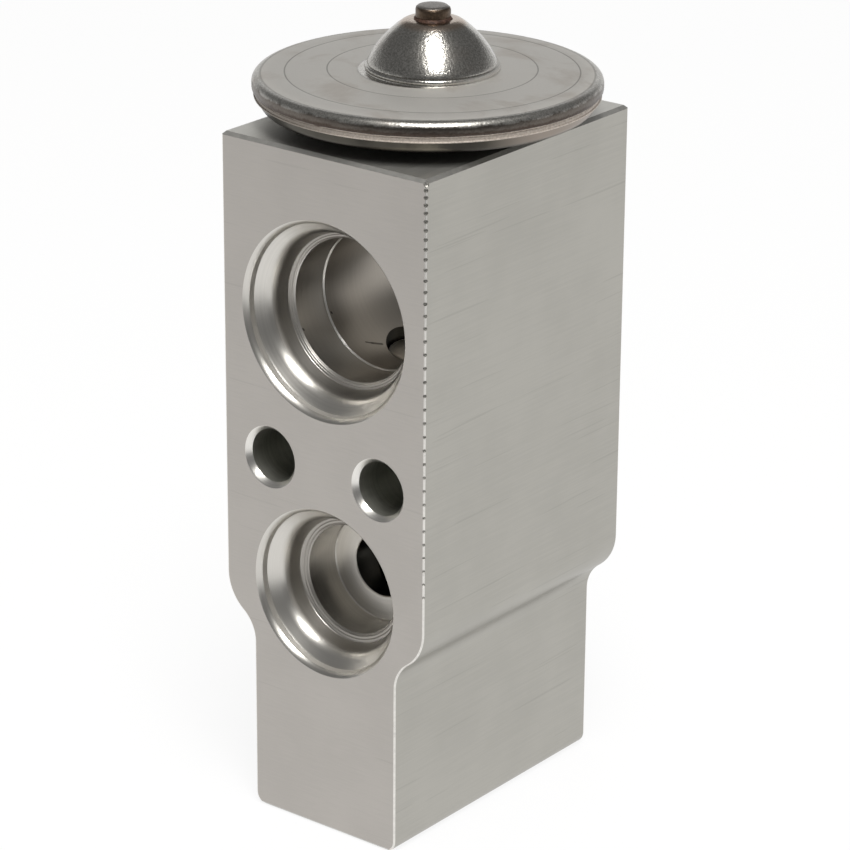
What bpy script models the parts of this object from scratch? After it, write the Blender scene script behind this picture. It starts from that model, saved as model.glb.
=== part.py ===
"""Block expansion valve: extruded aluminium block, diaphragm power element and the valve train inside.

Frame: origin at the middle of the block's foot, +Z up to the power element, the port face looks to -Y.
"""

import math

import bmesh
import bpy
from mathutils import Matrix, Vector

MM = 0.001

# Clearances
SEAT_GAP = 0.3 * MM            # between two pieces that rest on each other
CUT_MARGIN = 2.0 * MM          # how far a cutter stands out of what it cuts
MERGE = 0.01 * MM

# Block, an extrusion along Y
BLOCK_WIDTH = 26.8 * MM
BLOCK_DEPTH = 34.25 * MM
TOP_LAND = 17.92 * MM          # top face above the axis of the suction passage
PORT_SPACING = 30.28 * MM      # suction passage above the liquid inlet
FOOT_LENGTH = 27.6 * MM        # liquid inlet above the foot
WAIST_WIDTH = 19.3 * MM        # width of the lower part
SHOULDER_DROP = 0.87 * MM      # the wide part starts to turn in this far below the inlet's axis
SHOULDER_RADIUS = 5.2 * MM     # round of the wide part's lower corner
WAIST_RADIUS = 4.0 * MM        # hollow round above the lower part
FOOT_CORNER_RADIUS = 1.4 * MM
EDGE_CHAMFER = 0.37 * MM       # round the top face, and under the port face and the back

# Suction passage, straight through the block
PASSAGE_RADIUS = 7.6 * MM
SUCTION_BORE_RADIUS = 7.75 * MM
SUCTION_BORE_DEPTH = 9.3 * MM
SUCTION_MOUTH_RADIUS = 10.84 * MM

# Liquid inlet, on the port face
INLET_MOUTH_RADIUS = 9.42 * MM
INLET_BORE_RADIUS = 6.08 * MM
INLET_BORE_DEPTH = 9.3 * MM
INLET_HOLE_RADIUS = 3.48 * MM
INLET_HOLE_END = 4.0 * MM      # distance of the drilled end from the valve axis

# Liquid outlet, on the back
OUTLET_RISE = 2.83 * MM        # above the inlet
OUTLET_MOUTH_RADIUS = 8.9 * MM
OUTLET_BORE_RADIUS = 6.0 * MM
OUTLET_BORE_DEPTH = 9.3 * MM
OUTLET_HOLE_RADIUS = 1.85 * MM

# Seal gland that a form tool cuts in the mouth of every port
PORT_CHAMFER = 0.48 * MM
LIP_DEPTH = 0.95 * MM
LIP_STEP = 0.76 * MM           # drop of the radius from the mouth to the lip
CONE_DEPTH = 2.7 * MM
CONE_STEP = 1.84 * MM
GLAND_DEPTH = 4.45 * MM
GLAND_STEP = 2.37 * MM
GLAND_FLOOR_DROP = 0.35 * MM
GLAND_EDGE_RADIUS = 1.6 * MM   # soft edge between the cone and the gland
HOLE_FLOOR_DROP = 0.3 * MM     # slope of a blind bore's floor down to its hole

# Fixing holes
BOLT_DROP = 1.47 * MM          # below the middle between the two ports
BOLT_SPACING = 14.53 * MM
BOLT_RADIUS = 2.95 * MM
BOLT_CHAMFER = 0.5 * MM

# Vertical bore, from the power element down to the adjusting screw
COLLAR_RADIUS = 9.2 * MM
COLLAR_WALL = 2.7 * MM
COLLAR_LENGTH = 7.7 * MM
ELEMENT_SEAL_TUBE = 0.65 * MM
ELEMENT_SEAL_CLEARANCE = 0.4 * MM
SENSING_BORE_RADIUS = 7.0 * MM
ROD_RADIUS = 2.0 * MM
GLAND_BORE_RADIUS = 4.25 * MM
ROD_SEAL_TUBE = 0.82 * MM
RETAINER_THICKNESS = 0.85 * MM
RETAINER_DEPTH = 1.2 * MM      # top of the retainer below the floor of the passage
PIN_RADIUS = 1.1 * MM
PIN_BORE_LENGTH = 2.6 * MM
OUTLET_CHAMBER_RADIUS = 3.0 * MM
OUTLET_CHAMBER_SPARE = 0.86 * MM  # free space above the outlet's drilling
ROD_FOOT_SPACE = 0.6 * MM      # free space under the rod

# Valve seat, ball and carrier
CHAMBER_RADIUS = 5.2 * MM
CHAMBER_RISE = 2.83 * MM       # top of the chamber above the inlet
SEAT_RING_THICKNESS = 1.6 * MM
SEAT_RING_WALL = 1.6 * MM
ORIFICE_RADIUS = 1.7 * MM
ORIFICE_CHAMFER = 0.25 * MM
BALL_RADIUS = 2.4 * MM
CLOSED_GAP = 0.08 * MM         # ball to seat at the closed end of the stroke
VALVE_STROKE = 0.7 * MM
CARRIER_BOSS_WALL = 0.6 * MM
CARRIER_BOSS_DROP = 1.05 * MM  # from the ball's centre to the boss's rim
CARRIER_FLANGE_RADIUS = 4.0 * MM
CARRIER_FLANGE_THICKNESS = 1.3 * MM
CARRIER_WEB = 0.5 * MM         # metal between the ball's socket and the flange
CARRIER_NOSE_LENGTH = 2.2 * MM
DAMPER_THICKNESS = 0.3 * MM
DAMPER_LENGTH = 3.6 * MM
DAMPER_FINGERS = 6
DAMPER_SLOT = 1.9 * MM

# Spring and adjusting screw
SPRING_MEAN_RADIUS = 3.2 * MM
SPRING_WIRE_RADIUS = 0.45 * MM
SPRING_TURNS = 5.5
SCREW_THREAD_RADIUS = 5.9 * MM
SCREW_RECESS = 1.5 * MM        # screw's end face above the block's foot
SCREW_THREAD_LENGTH = 3.3 * MM
SCREW_GROOVE_LENGTH = 1.9 * MM
SCREW_LAND_LENGTH = 1.3 * MM
SCREW_SPIGOT_LENGTH = 2.0 * MM
SCREW_SEAL_TUBE = 0.65 * MM
SCREW_HEX_ACROSS_FLATS = 5.0 * MM
SCREW_HEX_DEPTH = 3.4 * MM
SCREW_STOP_GAP = 0.5 * MM      # screw, set fully in, below the step that stops it
SCREW_BORE_CHAMFER = 0.7 * MM

# Power element
SHEET = 0.8 * MM               # sheet of both covers
RIM_RADIUS = 18.24 * MM
FLANGE_RADIUS = 18.0 * MM      # lower cover
FLANGE_HEIGHT = 3.28 * MM      # top of the lower flange above the block
LOWER_FLANGE_EDGE = 0.65 * MM
FLANGE_WIDTH = 1.56 * MM
DISH_FLOOR_RADIUS = 12.0 * MM
DISH_BULGE = 0.3 * MM          # roundness of the dish's flank
DIAPHRAGM_THICKNESS = 0.2 * MM
DIAPHRAGM_INSET = 0.95 * MM    # diaphragm's edge in from the rim
DIAPHRAGM_CENTRE_RADIUS = 8.4 * MM
DIAPHRAGM_RIM_WIDTH = 1.5 * MM  # clamped edge, measured in from the pocket of the upper cover
DIAPHRAGM_WAVE = 0.18 * MM
RIM_COVER_HEIGHT = 1.45 * MM   # upper cover's plateau above its lip
RIM_COVER_THICKNESS = 0.95 * MM
PLATEAU_RADIUS = 7.5 * MM      # inner edge of the plateau
PLATEAU_OUTER_RADIUS = 15.4 * MM
RIM_EDGE_RADIUS = 17.4 * MM    # where the rim's round begins
RIM_EDGE_DROP = 0.2 * MM       # below the plateau
CONE_BASE_RADIUS = 6.87 * MM
CONE_BASE_HEIGHT = 1.05 * MM   # foot of the cone above the plateau
CONE_TOP_RADIUS = 2.5 * MM
CONE_TOP_HEIGHT = 5.55 * MM    # top of the cone above the plateau
CONE_BULGE = 0.42 * MM
BEAD_STEP = 0.22 * MM
PLUG_RADIUS = 1.83 * MM
PLUG_HEIGHT = 1.15 * MM
PLUG_SPIGOT_RADIUS = 0.9 * MM
PLUG_SPIGOT_LENGTH = 1.4 * MM
PLATE_RADIUS = 8.0 * MM
PLATE_THICKNESS = 1.0 * MM
PLATE_HUB_WALL = 1.9 * MM
PLATE_HUB_LENGTH = 2.0 * MM
PLATE_SOCKET_ROOF = 0.7 * MM   # plate above the rod's socket
DISH_HOLE_CLEARANCE = 0.8 * MM

# Facets
PORT_STEPS = 32
BOLT_STEPS = 24
BORE_STEPS = 28
RIM_STEPS = 40
SMALL_STEPS = 20
SEAL_SIDES = 8
BALL_STEPS = 16
SPRING_STEPS = 12              # a turn
DIAPHRAGM_STEPS = 6            # across the wave

# Levels and radii that follow from the sizes above
half_depth = BLOCK_DEPTH / 2
inlet_height = FOOT_LENGTH
passage_height = inlet_height + PORT_SPACING
block_height = passage_height + TOP_LAND
shoulder_height = inlet_height - SHOULDER_DROP
outlet_height = inlet_height + OUTLET_RISE
bolt_height = (passage_height + inlet_height) / 2 - BOLT_DROP
chamber_top = inlet_height + CHAMBER_RISE
passage_floor = passage_height - PASSAGE_RADIUS
collar_bore_radius = COLLAR_RADIUS + SEAT_GAP
collar_inner_radius = COLLAR_RADIUS - COLLAR_WALL
collar_bottom = block_height - COLLAR_LENGTH
element_seal_radius = collar_bore_radius + ELEMENT_SEAL_TUBE
element_seal_level = block_height - ELEMENT_SEAL_TUBE
element_groove_radius = element_seal_radius + ELEMENT_SEAL_TUBE + ELEMENT_SEAL_CLEARANCE
element_groove_floor = element_seal_level - ELEMENT_SEAL_TUBE - SEAT_GAP
rod_bore_radius = ROD_RADIUS + SEAT_GAP
rod_seal_radius = rod_bore_radius + ROD_SEAL_TUBE
retainer_top = passage_floor - RETAINER_DEPTH
retainer_bottom = retainer_top - RETAINER_THICKNESS
rod_seal_level = retainer_bottom - SEAT_GAP - ROD_SEAL_TUBE
gland_bore_floor = rod_seal_level - ROD_SEAL_TUBE - SEAT_GAP
seat_ring_radius = ORIFICE_RADIUS + SEAT_RING_WALL
seat_bore_radius = seat_ring_radius + SEAT_GAP
seat_shoulder = chamber_top + SEAT_RING_THICKNESS + SEAT_GAP
outlet_hole_height = seat_shoulder + OUTLET_HOLE_RADIUS + SEAT_GAP
pin_bore_radius = PIN_RADIUS + SEAT_GAP
pin_bore_bottom = outlet_hole_height + OUTLET_HOLE_RADIUS + OUTLET_CHAMBER_SPARE
rod_bore_floor = pin_bore_bottom + PIN_BORE_LENGTH
rod_bottom = rod_bore_floor + ROD_FOOT_SPACE
seat_edge = chamber_top + ORIFICE_CHAMFER
ball_closed = seat_edge - math.sqrt((BALL_RADIUS + CLOSED_GAP) ** 2 - ORIFICE_RADIUS ** 2)
ball_level = ball_closed - VALVE_STROKE
pin_bottom = ball_level + BALL_RADIUS + SEAT_GAP
pin_top = rod_bottom - SEAT_GAP
socket_radius = BALL_RADIUS + SEAT_GAP
boss_top = ball_level - CARRIER_BOSS_DROP
boss_inner_radius = math.sqrt(socket_radius ** 2 - CARRIER_BOSS_DROP ** 2)
boss_radius = boss_inner_radius + CARRIER_BOSS_WALL
flange_top = ball_level - socket_radius - CARRIER_WEB
flange_bottom = flange_top - CARRIER_FLANGE_THICKNESS
nose_radius = SPRING_MEAN_RADIUS - SPRING_WIRE_RADIUS - 1.5 * SEAT_GAP
nose_bottom = flange_bottom - CARRIER_NOSE_LENGTH
damper_top = flange_bottom - SEAT_GAP
damper_floor = damper_top - DAMPER_THICKNESS
damper_foot_radius = CHAMBER_RADIUS - SEAT_GAP
screw_bore_radius = SCREW_THREAD_RADIUS + SEAT_GAP
screw_groove_bottom = SCREW_RECESS + SCREW_THREAD_LENGTH
screw_groove_top = screw_groove_bottom + SCREW_GROOVE_LENGTH
screw_top = screw_groove_top + SCREW_LAND_LENGTH
screw_seal_radius = SCREW_THREAD_RADIUS - SCREW_SEAL_TUBE
screw_groove_radius = screw_seal_radius - SCREW_SEAL_TUBE - SEAT_GAP
screw_seal_level = (screw_groove_bottom + screw_groove_top) / 2
screw_bore_top = screw_top + SCREW_STOP_GAP
spring_bottom = screw_top + SEAT_GAP + SPRING_WIRE_RADIUS
spring_top = damper_floor - SEAT_GAP - SPRING_WIRE_RADIUS
flange_top_level = block_height + FLANGE_HEIGHT
flange_bottom_level = flange_top_level - LOWER_FLANGE_EDGE
dish_bottom = block_height + SEAT_GAP
dish_floor = dish_bottom + SHEET
hub_radius = rod_bore_radius + PLATE_HUB_WALL
dish_hole_radius = hub_radius + DISH_HOLE_CLEARANCE
lip_level = flange_top_level + SEAT_GAP
diaphragm_radius = RIM_RADIUS - DIAPHRAGM_INSET
diaphragm_rim_bottom = flange_top_level + SEAT_GAP
diaphragm_rim_top = diaphragm_rim_bottom + DIAPHRAGM_THICKNESS
cover_pocket = diaphragm_rim_top + SEAT_GAP
cover_pocket_radius = diaphragm_radius + SEAT_GAP
wave_radius = cover_pocket_radius - DIAPHRAGM_RIM_WIDTH
plateau = lip_level + RIM_COVER_HEIGHT
cover_under = plateau - RIM_COVER_THICKNESS
cone_base = plateau + CONE_BASE_HEIGHT
cone_top = plateau + CONE_TOP_HEIGHT
plug_bottom = cone_top + SEAT_GAP
plug_top = plug_bottom + PLUG_HEIGHT
plate_bottom = dish_floor + SEAT_GAP
plate_top = plate_bottom + PLATE_THICKNESS
hub_bottom = plate_bottom - PLATE_HUB_LENGTH
hub_socket_top = plate_top - PLATE_SOCKET_ROOF
rod_top = hub_socket_top - SEAT_GAP
diaphragm_centre_bottom = plate_top + SEAT_GAP


def clear_scene():
    for old in list(bpy.data.objects):
        bpy.data.objects.remove(old, do_unlink=True)


def new_collection(name):
    collection = bpy.data.collections.new(name)
    bpy.context.scene.collection.children.link(collection)
    return collection


def new_material(name, colour, roughness, metallic):
    material = bpy.data.materials.new(name)
    material.use_nodes = True
    shader = material.node_tree.nodes["Principled BSDF"]
    shader.inputs["Base Color"].default_value = (*colour, 1.0)
    shader.inputs["Roughness"].default_value = roughness
    shader.inputs["Metallic"].default_value = metallic
    return material


# Outline helpers

def arc(centre_x, centre_y, radius, start, end, count):
    """Points on a circle from one angle to another, both ends included."""
    step = (end - start) / (count - 1)
    return [(centre_x + radius * math.cos(start + step * i), centre_y + radius * math.sin(start + step * i))
            for i in range(count)]


def swept(centre, first, swing, count):
    """Points on a circle from a first spoke on, clockwise through the swing."""
    turns = [Matrix.Rotation(-swing * i / (count - 1), 2) for i in range(count)]
    return [tuple(centre + turn @ first) for turn in turns]


def rounded(points, corner, radius, count):
    """The points with the corner at one index turned into an arc."""
    before, tip, after = (Vector(points[i]) for i in (corner - 1, corner, corner + 1))
    to_before = (before - tip).normalized()
    to_after = (after - tip).normalized()
    half_angle = to_before.angle(to_after) / 2
    reach = min(radius / math.tan(half_angle), (before - tip).length / 2, (after - tip).length / 2)
    size = reach * math.tan(half_angle)
    centre = tip + (to_before + to_after).normalized() * (size / math.sin(half_angle))
    first = tip + to_before * reach - centre
    last = tip + to_after * reach - centre
    bend = swept(centre, first, first.angle_signed(last), count)
    return points[:corner] + bend + points[corner + 1:]


def bulged(start, end, bulge, count):
    """An arc from one point to the other that stands out to the left of the way by the bulge."""
    start, end = Vector(start), Vector(end)
    chord = end - start
    radius = chord.length_squared / (8 * bulge) + bulge / 2
    left = Vector((-chord.y, chord.x)).normalized()
    centre = (start + end) / 2 + left * (bulge - radius)
    return swept(centre, start - centre, (start - centre).angle_signed(end - centre), count)


# Object helpers

def finish(obj, collection, material=None, crease=30.0):
    collection.objects.link(obj)
    if material is not None:
        obj.data.materials.append(material)
    obj.data.shade_smooth()
    obj.data.set_sharp_from_angle(angle=math.radians(crease))
    return obj


def as_cutter(obj):
    obj.hide_render = True
    obj.display_type = "WIRE"
    return obj


def new_primitive(name):
    """Names the primitive that was just added and takes it out of the scene's own collection."""
    obj = bpy.context.object
    for old in list(obj.users_collection):
        old.objects.unlink(obj)
    obj.name = name
    obj.data.name = name
    return obj


def turned(name, profile, collection, material=None, steps=BORE_STEPS, ring=False):
    """A profile of (radius, height) points turned about Z. It runs down the outer side."""
    mesh = bpy.data.meshes.new(name)
    shape = bmesh.new()
    corners = [shape.verts.new((radius, 0.0, height)) for radius, height in profile]
    for first, second in zip(corners, corners[1:]):
        shape.edges.new((first, second))
    if ring:
        shape.edges.new((corners[-1], corners[0]))
    shape.to_mesh(mesh)
    shape.free()
    obj = bpy.data.objects.new(name, mesh)
    screw = obj.modifiers.new("Turn", "SCREW")
    screw.axis = "Z"
    screw.steps = steps
    screw.render_steps = steps
    screw.use_merge_vertices = True
    screw.merge_threshold = MERGE
    screw.use_smooth_shade = True
    return finish(obj, collection, material)


def mesh_from_curve(name, curve, collection, material=None):
    """A closed mesh made from a curve object, with its caps welded on."""
    source = bpy.data.objects.new(name + "_curve", curve)
    bpy.context.scene.collection.objects.link(source)
    graph = bpy.context.evaluated_depsgraph_get()
    mesh = bpy.data.meshes.new_from_object(source.evaluated_get(graph))
    mesh.name = name
    shape = bmesh.new()
    shape.from_mesh(mesh)
    bmesh.ops.remove_doubles(shape, verts=shape.verts, dist=MERGE)
    shape.to_mesh(mesh)
    shape.free()
    obj = bpy.data.objects.new(name, mesh)
    obj.matrix_world = source.matrix_world
    bpy.data.objects.remove(source, do_unlink=True)
    bpy.data.curves.remove(curve)
    return finish(obj, collection, material)


def outline_plate(name, outline, depth, collection, material=None):
    """A closed outline in XZ, thickened along Y to both sides."""
    curve = bpy.data.curves.new(name, "CURVE")
    curve.dimensions = "2D"
    curve.fill_mode = "BOTH"
    curve.extrude = depth / 2
    spline = curve.splines.new("POLY")
    spline.points.add(len(outline) - 1)
    for point, (x, z) in zip(spline.points, outline):
        point.co = (x, z, 0.0, 1.0)
    spline.use_cyclic_u = True
    obj = mesh_from_curve(name, curve, collection, material)
    obj.data.transform(Matrix.Rotation(math.pi / 2, 4, "X"))
    return obj


def cut(obj, cutter):
    boolean = obj.modifiers.new(cutter.name, "BOOLEAN")
    boolean.operation = "DIFFERENCE"
    boolean.solver = "EXACT"
    boolean.object = cutter


def lay_along_y(obj, x, y, z, towards=-1):
    """Turns a piece made along Z so that its top looks to -Y, or to +Y."""
    obj.rotation_euler = (-towards * math.pi / 2, 0.0, 0.0)
    obj.location = (x, y, z)


# The block

def block_outline():
    """The extrusion's section: a wide head, a double bend on each side and a narrower foot."""
    half_width = BLOCK_WIDTH / 2
    half_waist = WAIST_WIDTH / 2
    bend = SHOULDER_RADIUS + WAIST_RADIUS
    sweep = math.acos(1 - (half_width - half_waist) / bend)
    waist_level = shoulder_height - bend * math.sin(sweep)
    right = arc(half_waist - FOOT_CORNER_RADIUS, FOOT_CORNER_RADIUS, FOOT_CORNER_RADIUS, -math.pi / 2, 0, 5)
    right += arc(half_waist + WAIST_RADIUS, waist_level, WAIST_RADIUS, math.pi, math.pi - sweep, 7)
    right += arc(half_width - SHOULDER_RADIUS, shoulder_height, SHOULDER_RADIUS, -sweep, 0, 8)[1:]
    right.append((half_width, block_height))
    return right + [(-x, z) for x, z in reversed(right)]


def edge_cutter(name, edge, outward, cutters):
    """A square bar laid over an edge through the given point, so that its flat takes the chamfer off."""
    across = Vector(outward).normalized()
    along = Vector((0.0, 1.0, 0.0)) if across.x else Vector((1.0, 0.0, 0.0))
    side = 4 * EDGE_CHAMFER
    length = BLOCK_DEPTH + CUT_MARGIN
    bpy.ops.mesh.primitive_cube_add(size=1.0)
    bar = new_primitive(name)
    cutters.objects.link(bar)
    bar.data.transform(Matrix.Diagonal((length, side, side, 1.0)))
    bar.rotation_euler = Matrix((along, across.cross(along), across)).transposed().to_euler()
    bar.location = Vector(edge) + across * (side / 2 - EDGE_CHAMFER / math.sqrt(2))
    return as_cutter(bar)


def edge_cutters(cutters):
    side = BLOCK_WIDTH / 2
    return [
        edge_cutter("cut_top_left", (-side, 0.0, block_height), (-1.0, 0.0, 1.0), cutters),
        edge_cutter("cut_top_right", (side, 0.0, block_height), (1.0, 0.0, 1.0), cutters),
        edge_cutter("cut_top_front", (0.0, -half_depth, block_height), (0.0, -1.0, 1.0), cutters),
        edge_cutter("cut_top_back", (0.0, half_depth, block_height), (0.0, 1.0, 1.0), cutters),
        edge_cutter("cut_foot_front", (0.0, -half_depth, 0.0), (0.0, -1.0, -1.0), cutters),
        edge_cutter("cut_foot_back", (0.0, half_depth, 0.0), (0.0, 1.0, -1.0), cutters),
    ]


def port_form(mouth_radius, bore_radius):
    """Radius and depth of the mouth's steps, from the face inwards to the edge of the bore."""
    cone_to_gland = 3
    form = [
        (mouth_radius, 0.0),
        (mouth_radius - PORT_CHAMFER, PORT_CHAMFER),
        (mouth_radius - LIP_STEP, LIP_DEPTH),
        (mouth_radius - CONE_STEP, CONE_DEPTH),
        (mouth_radius - GLAND_STEP, GLAND_DEPTH),
        (bore_radius, GLAND_DEPTH + GLAND_FLOOR_DROP),
    ]
    return rounded(form, cone_to_gland, GLAND_EDGE_RADIUS, 3)


def suction_cutter(cutters):
    """The passage through the block, with the same port form at both faces."""
    front = port_form(SUCTION_MOUTH_RADIUS, SUCTION_BORE_RADIUS)
    front.append((SUCTION_BORE_RADIUS, SUCTION_BORE_DEPTH))
    front.append((PASSAGE_RADIUS, SUCTION_BORE_DEPTH + HOLE_FLOOR_DROP))
    upper = [(radius, half_depth - depth) for radius, depth in front]
    lower = [(radius, -height) for radius, height in reversed(upper)]
    end = half_depth + CUT_MARGIN
    profile = [(0.0, end), (SUCTION_MOUTH_RADIUS, end)] + upper + lower
    profile += [(SUCTION_MOUTH_RADIUS, -end), (0.0, -end)]
    cutter = turned("cut_suction", profile, cutters, steps=PORT_STEPS)
    lay_along_y(cutter, 0.0, 0.0, passage_height)
    return as_cutter(cutter)


def blind_port_cutter(name, mouth_radius, bore_radius, bore_depth, hole, cutters):
    """A port with a blind bore; hole is the radius and depth of a drilling on its axis, or None."""
    profile = [(0.0, CUT_MARGIN), (mouth_radius, CUT_MARGIN)]
    profile += [(radius, -depth) for radius, depth in port_form(mouth_radius, bore_radius)]
    profile.append((bore_radius, -bore_depth))
    floor = -bore_depth - HOLE_FLOOR_DROP
    if hole is None:
        profile.append((0.0, floor))
    else:
        hole_radius, hole_depth = hole
        profile += [(hole_radius, floor), (hole_radius, -hole_depth), (0.0, -hole_depth)]
    return as_cutter(turned(name, profile, cutters, steps=PORT_STEPS))


def bolt_cutter(name, x, cutters):
    end = half_depth + CUT_MARGIN
    mouth = BOLT_RADIUS + BOLT_CHAMFER
    profile = [
        (0.0, end), (mouth, end), (mouth, half_depth), (BOLT_RADIUS, half_depth - BOLT_CHAMFER),
        (BOLT_RADIUS, BOLT_CHAMFER - half_depth), (mouth, -half_depth), (mouth, -end), (0.0, -end),
    ]
    cutter = turned(name, profile, cutters, steps=BOLT_STEPS)
    lay_along_y(cutter, x, 0.0, bolt_height)
    return as_cutter(cutter)


def outlet_hole_cutter(cutters):
    """The drilling from the outlet's floor to the space above the seat."""
    start = half_depth - OUTLET_BORE_DEPTH + HOLE_FLOOR_DROP
    profile = [(0.0, start), (OUTLET_HOLE_RADIUS, start), (OUTLET_HOLE_RADIUS, 0.0), (0.0, 0.0)]
    cutter = turned("cut_outlet_hole", profile, cutters, steps=SMALL_STEPS)
    lay_along_y(cutter, 0.0, 0.0, outlet_hole_height, towards=1)
    return as_cutter(cutter)


def stem_bore_cutter(cutters):
    """Every step of the vertical bore, turned about the valve axis from the top face to the foot."""
    foot_mouth = screw_bore_radius + SCREW_BORE_CHAMFER
    steps_down = [
        (element_groove_radius, element_groove_floor),
        (collar_bore_radius, collar_bottom - SEAT_GAP),
        (SENSING_BORE_RADIUS, passage_height),
        (GLAND_BORE_RADIUS, gland_bore_floor),
        (rod_bore_radius, rod_bore_floor),
        (pin_bore_radius, pin_bore_bottom),
        (OUTLET_CHAMBER_RADIUS, seat_shoulder),
        (seat_bore_radius, chamber_top),
        (CHAMBER_RADIUS, screw_bore_top),
        (screw_bore_radius, SCREW_BORE_CHAMFER),
    ]
    level = block_height + CUT_MARGIN
    profile = [(0.0, level)]
    for radius, floor in steps_down:
        profile += [(radius, level), (radius, floor)]
        level = floor
    profile += [(foot_mouth, 0.0), (foot_mouth, -CUT_MARGIN), (0.0, -CUT_MARGIN)]
    return as_cutter(turned("cut_stem_bore", profile, cutters))


def make_valve_body(parts, cutters, material):
    body = outline_plate("valve_body", block_outline(), BLOCK_DEPTH, parts, material)
    inlet_hole = (INLET_HOLE_RADIUS, half_depth - INLET_HOLE_END)
    inlet = blind_port_cutter("cut_inlet", INLET_MOUTH_RADIUS, INLET_BORE_RADIUS, INLET_BORE_DEPTH,
                              inlet_hole, cutters)
    lay_along_y(inlet, 0.0, -half_depth, inlet_height)
    outlet = blind_port_cutter("cut_outlet", OUTLET_MOUTH_RADIUS, OUTLET_BORE_RADIUS, OUTLET_BORE_DEPTH,
                               None, cutters)
    lay_along_y(outlet, 0.0, half_depth, outlet_height, towards=1)
    for bar in edge_cutters(cutters):
        cut(body, bar)
    cut(body, suction_cutter(cutters))
    cut(body, stem_bore_cutter(cutters))
    cut(body, inlet)
    cut(body, outlet)
    cut(body, outlet_hole_cutter(cutters))
    cut(body, bolt_cutter("cut_bolt_left", -BOLT_SPACING / 2, cutters))
    cut(body, bolt_cutter("cut_bolt_right", BOLT_SPACING / 2, cutters))
    return body


# The power element

def make_lower_cover(parts, material):
    """The dish that sits on the block, with its flange and the hole for the plate's hub."""
    flange_inner = FLANGE_RADIUS - FLANGE_WIDTH
    edge_round = LOWER_FLANGE_EDGE / 4
    outer = [
        (FLANGE_RADIUS - edge_round, flange_top_level),
        (FLANGE_RADIUS, flange_top_level - edge_round),
        (FLANGE_RADIUS - edge_round / 2, flange_bottom_level),
    ]
    flank_top = (FLANGE_RADIUS - SHEET, flange_bottom_level - edge_round)
    flank_foot = (DISH_FLOOR_RADIUS + SHEET, dish_bottom + edge_round)
    outer += bulged(flank_top, flank_foot, DISH_BULGE, 4)
    floor_edge = [(DISH_FLOOR_RADIUS, dish_bottom)]
    inner = [
        (dish_hole_radius, dish_bottom),
        (dish_hole_radius, dish_floor),
        (DISH_FLOOR_RADIUS - SHEET / 4, dish_floor),
        (flange_inner - SHEET / 2, flange_top_level - edge_round),
        (flange_inner, flange_top_level),
    ]
    return turned("lower_cover", outer + floor_edge + inner, parts, material, RIM_STEPS, ring=True)


def make_upper_cover(parts, material):
    """The stamped cover: a rounded rim, a flat, a bead and the domed cone that ends in the filling hole."""
    hole_radius = PLUG_SPIGOT_RADIUS + SEAT_GAP
    lip_inner = cover_pocket_radius
    cone_foot = (CONE_BASE_RADIUS, cone_base)
    cone_tip = (CONE_TOP_RADIUS, cone_top - SHEET / 8)
    bead_level = plateau + CONE_BASE_HEIGHT / 2
    outer = [(hole_radius, cone_top), (CONE_TOP_RADIUS - SHEET / 4, cone_top)]
    outer += bulged(cone_tip, cone_foot, CONE_BULGE, 6)
    outer += [
        (CONE_BASE_RADIUS, bead_level + BEAD_STEP),
        (CONE_BASE_RADIUS + BEAD_STEP, bead_level),
        (PLATEAU_RADIUS, plateau + BEAD_STEP / 2),
        (PLATEAU_RADIUS + BEAD_STEP, plateau),
    ]
    rim_edge = plateau - RIM_EDGE_DROP
    rim_round = RIM_RADIUS - RIM_EDGE_RADIUS
    outer.append((PLATEAU_OUTER_RADIUS, plateau))
    outer += arc(RIM_EDGE_RADIUS, rim_edge - rim_round, rim_round, math.pi / 2, 0, 4)
    outer += [(RIM_RADIUS - SHEET / 8, lip_level), (lip_inner, lip_level)]
    cone_inner_foot = (CONE_BASE_RADIUS - SHEET, cone_base - SHEET / 2)
    cone_inner_tip = (hole_radius, cone_top - 1.2 * SHEET)
    inner = [
        (lip_inner, cover_pocket),
        (lip_inner - 2 * SHEET, cover_pocket),
        (lip_inner - 3 * SHEET, cover_under + SHEET / 8),
        (PLATEAU_RADIUS, cover_under + SHEET / 8),
        (CONE_BASE_RADIUS - SHEET, plateau),
        cone_inner_foot,
    ]
    shoulder = (CONE_TOP_RADIUS, cone_top - 1.5 * SHEET)
    inner += bulged(cone_inner_foot, shoulder, -CONE_BULGE, 4)[1:] + [cone_inner_tip]
    return turned("upper_cover", outer + inner, parts, material, RIM_STEPS, ring=True)


def make_charge_plug(parts, material):
    round_off = PLUG_HEIGHT / 6
    profile = [
        (0.0, plug_top), (PLUG_RADIUS - round_off, plug_top), (PLUG_RADIUS, plug_top - round_off),
        (PLUG_RADIUS, plug_bottom), (PLUG_SPIGOT_RADIUS, plug_bottom),
        (PLUG_SPIGOT_RADIUS, plug_bottom - PLUG_SPIGOT_LENGTH), (0.0, plug_bottom - PLUG_SPIGOT_LENGTH),
    ]
    return turned("charge_plug", profile, parts, material, SMALL_STEPS)


def make_mounting_collar(parts, material):
    """The threaded collar welded under the dish; it screws into the block."""
    top = dish_bottom - SEAT_GAP
    chamfer = COLLAR_WALL / 5
    profile = [
        (COLLAR_RADIUS, top), (COLLAR_RADIUS, collar_bottom + chamfer),
        (COLLAR_RADIUS - chamfer, collar_bottom), (collar_inner_radius, collar_bottom),
        (collar_inner_radius, top),
    ]
    return turned("mounting_collar", profile, parts, material, BORE_STEPS, ring=True)


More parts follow.
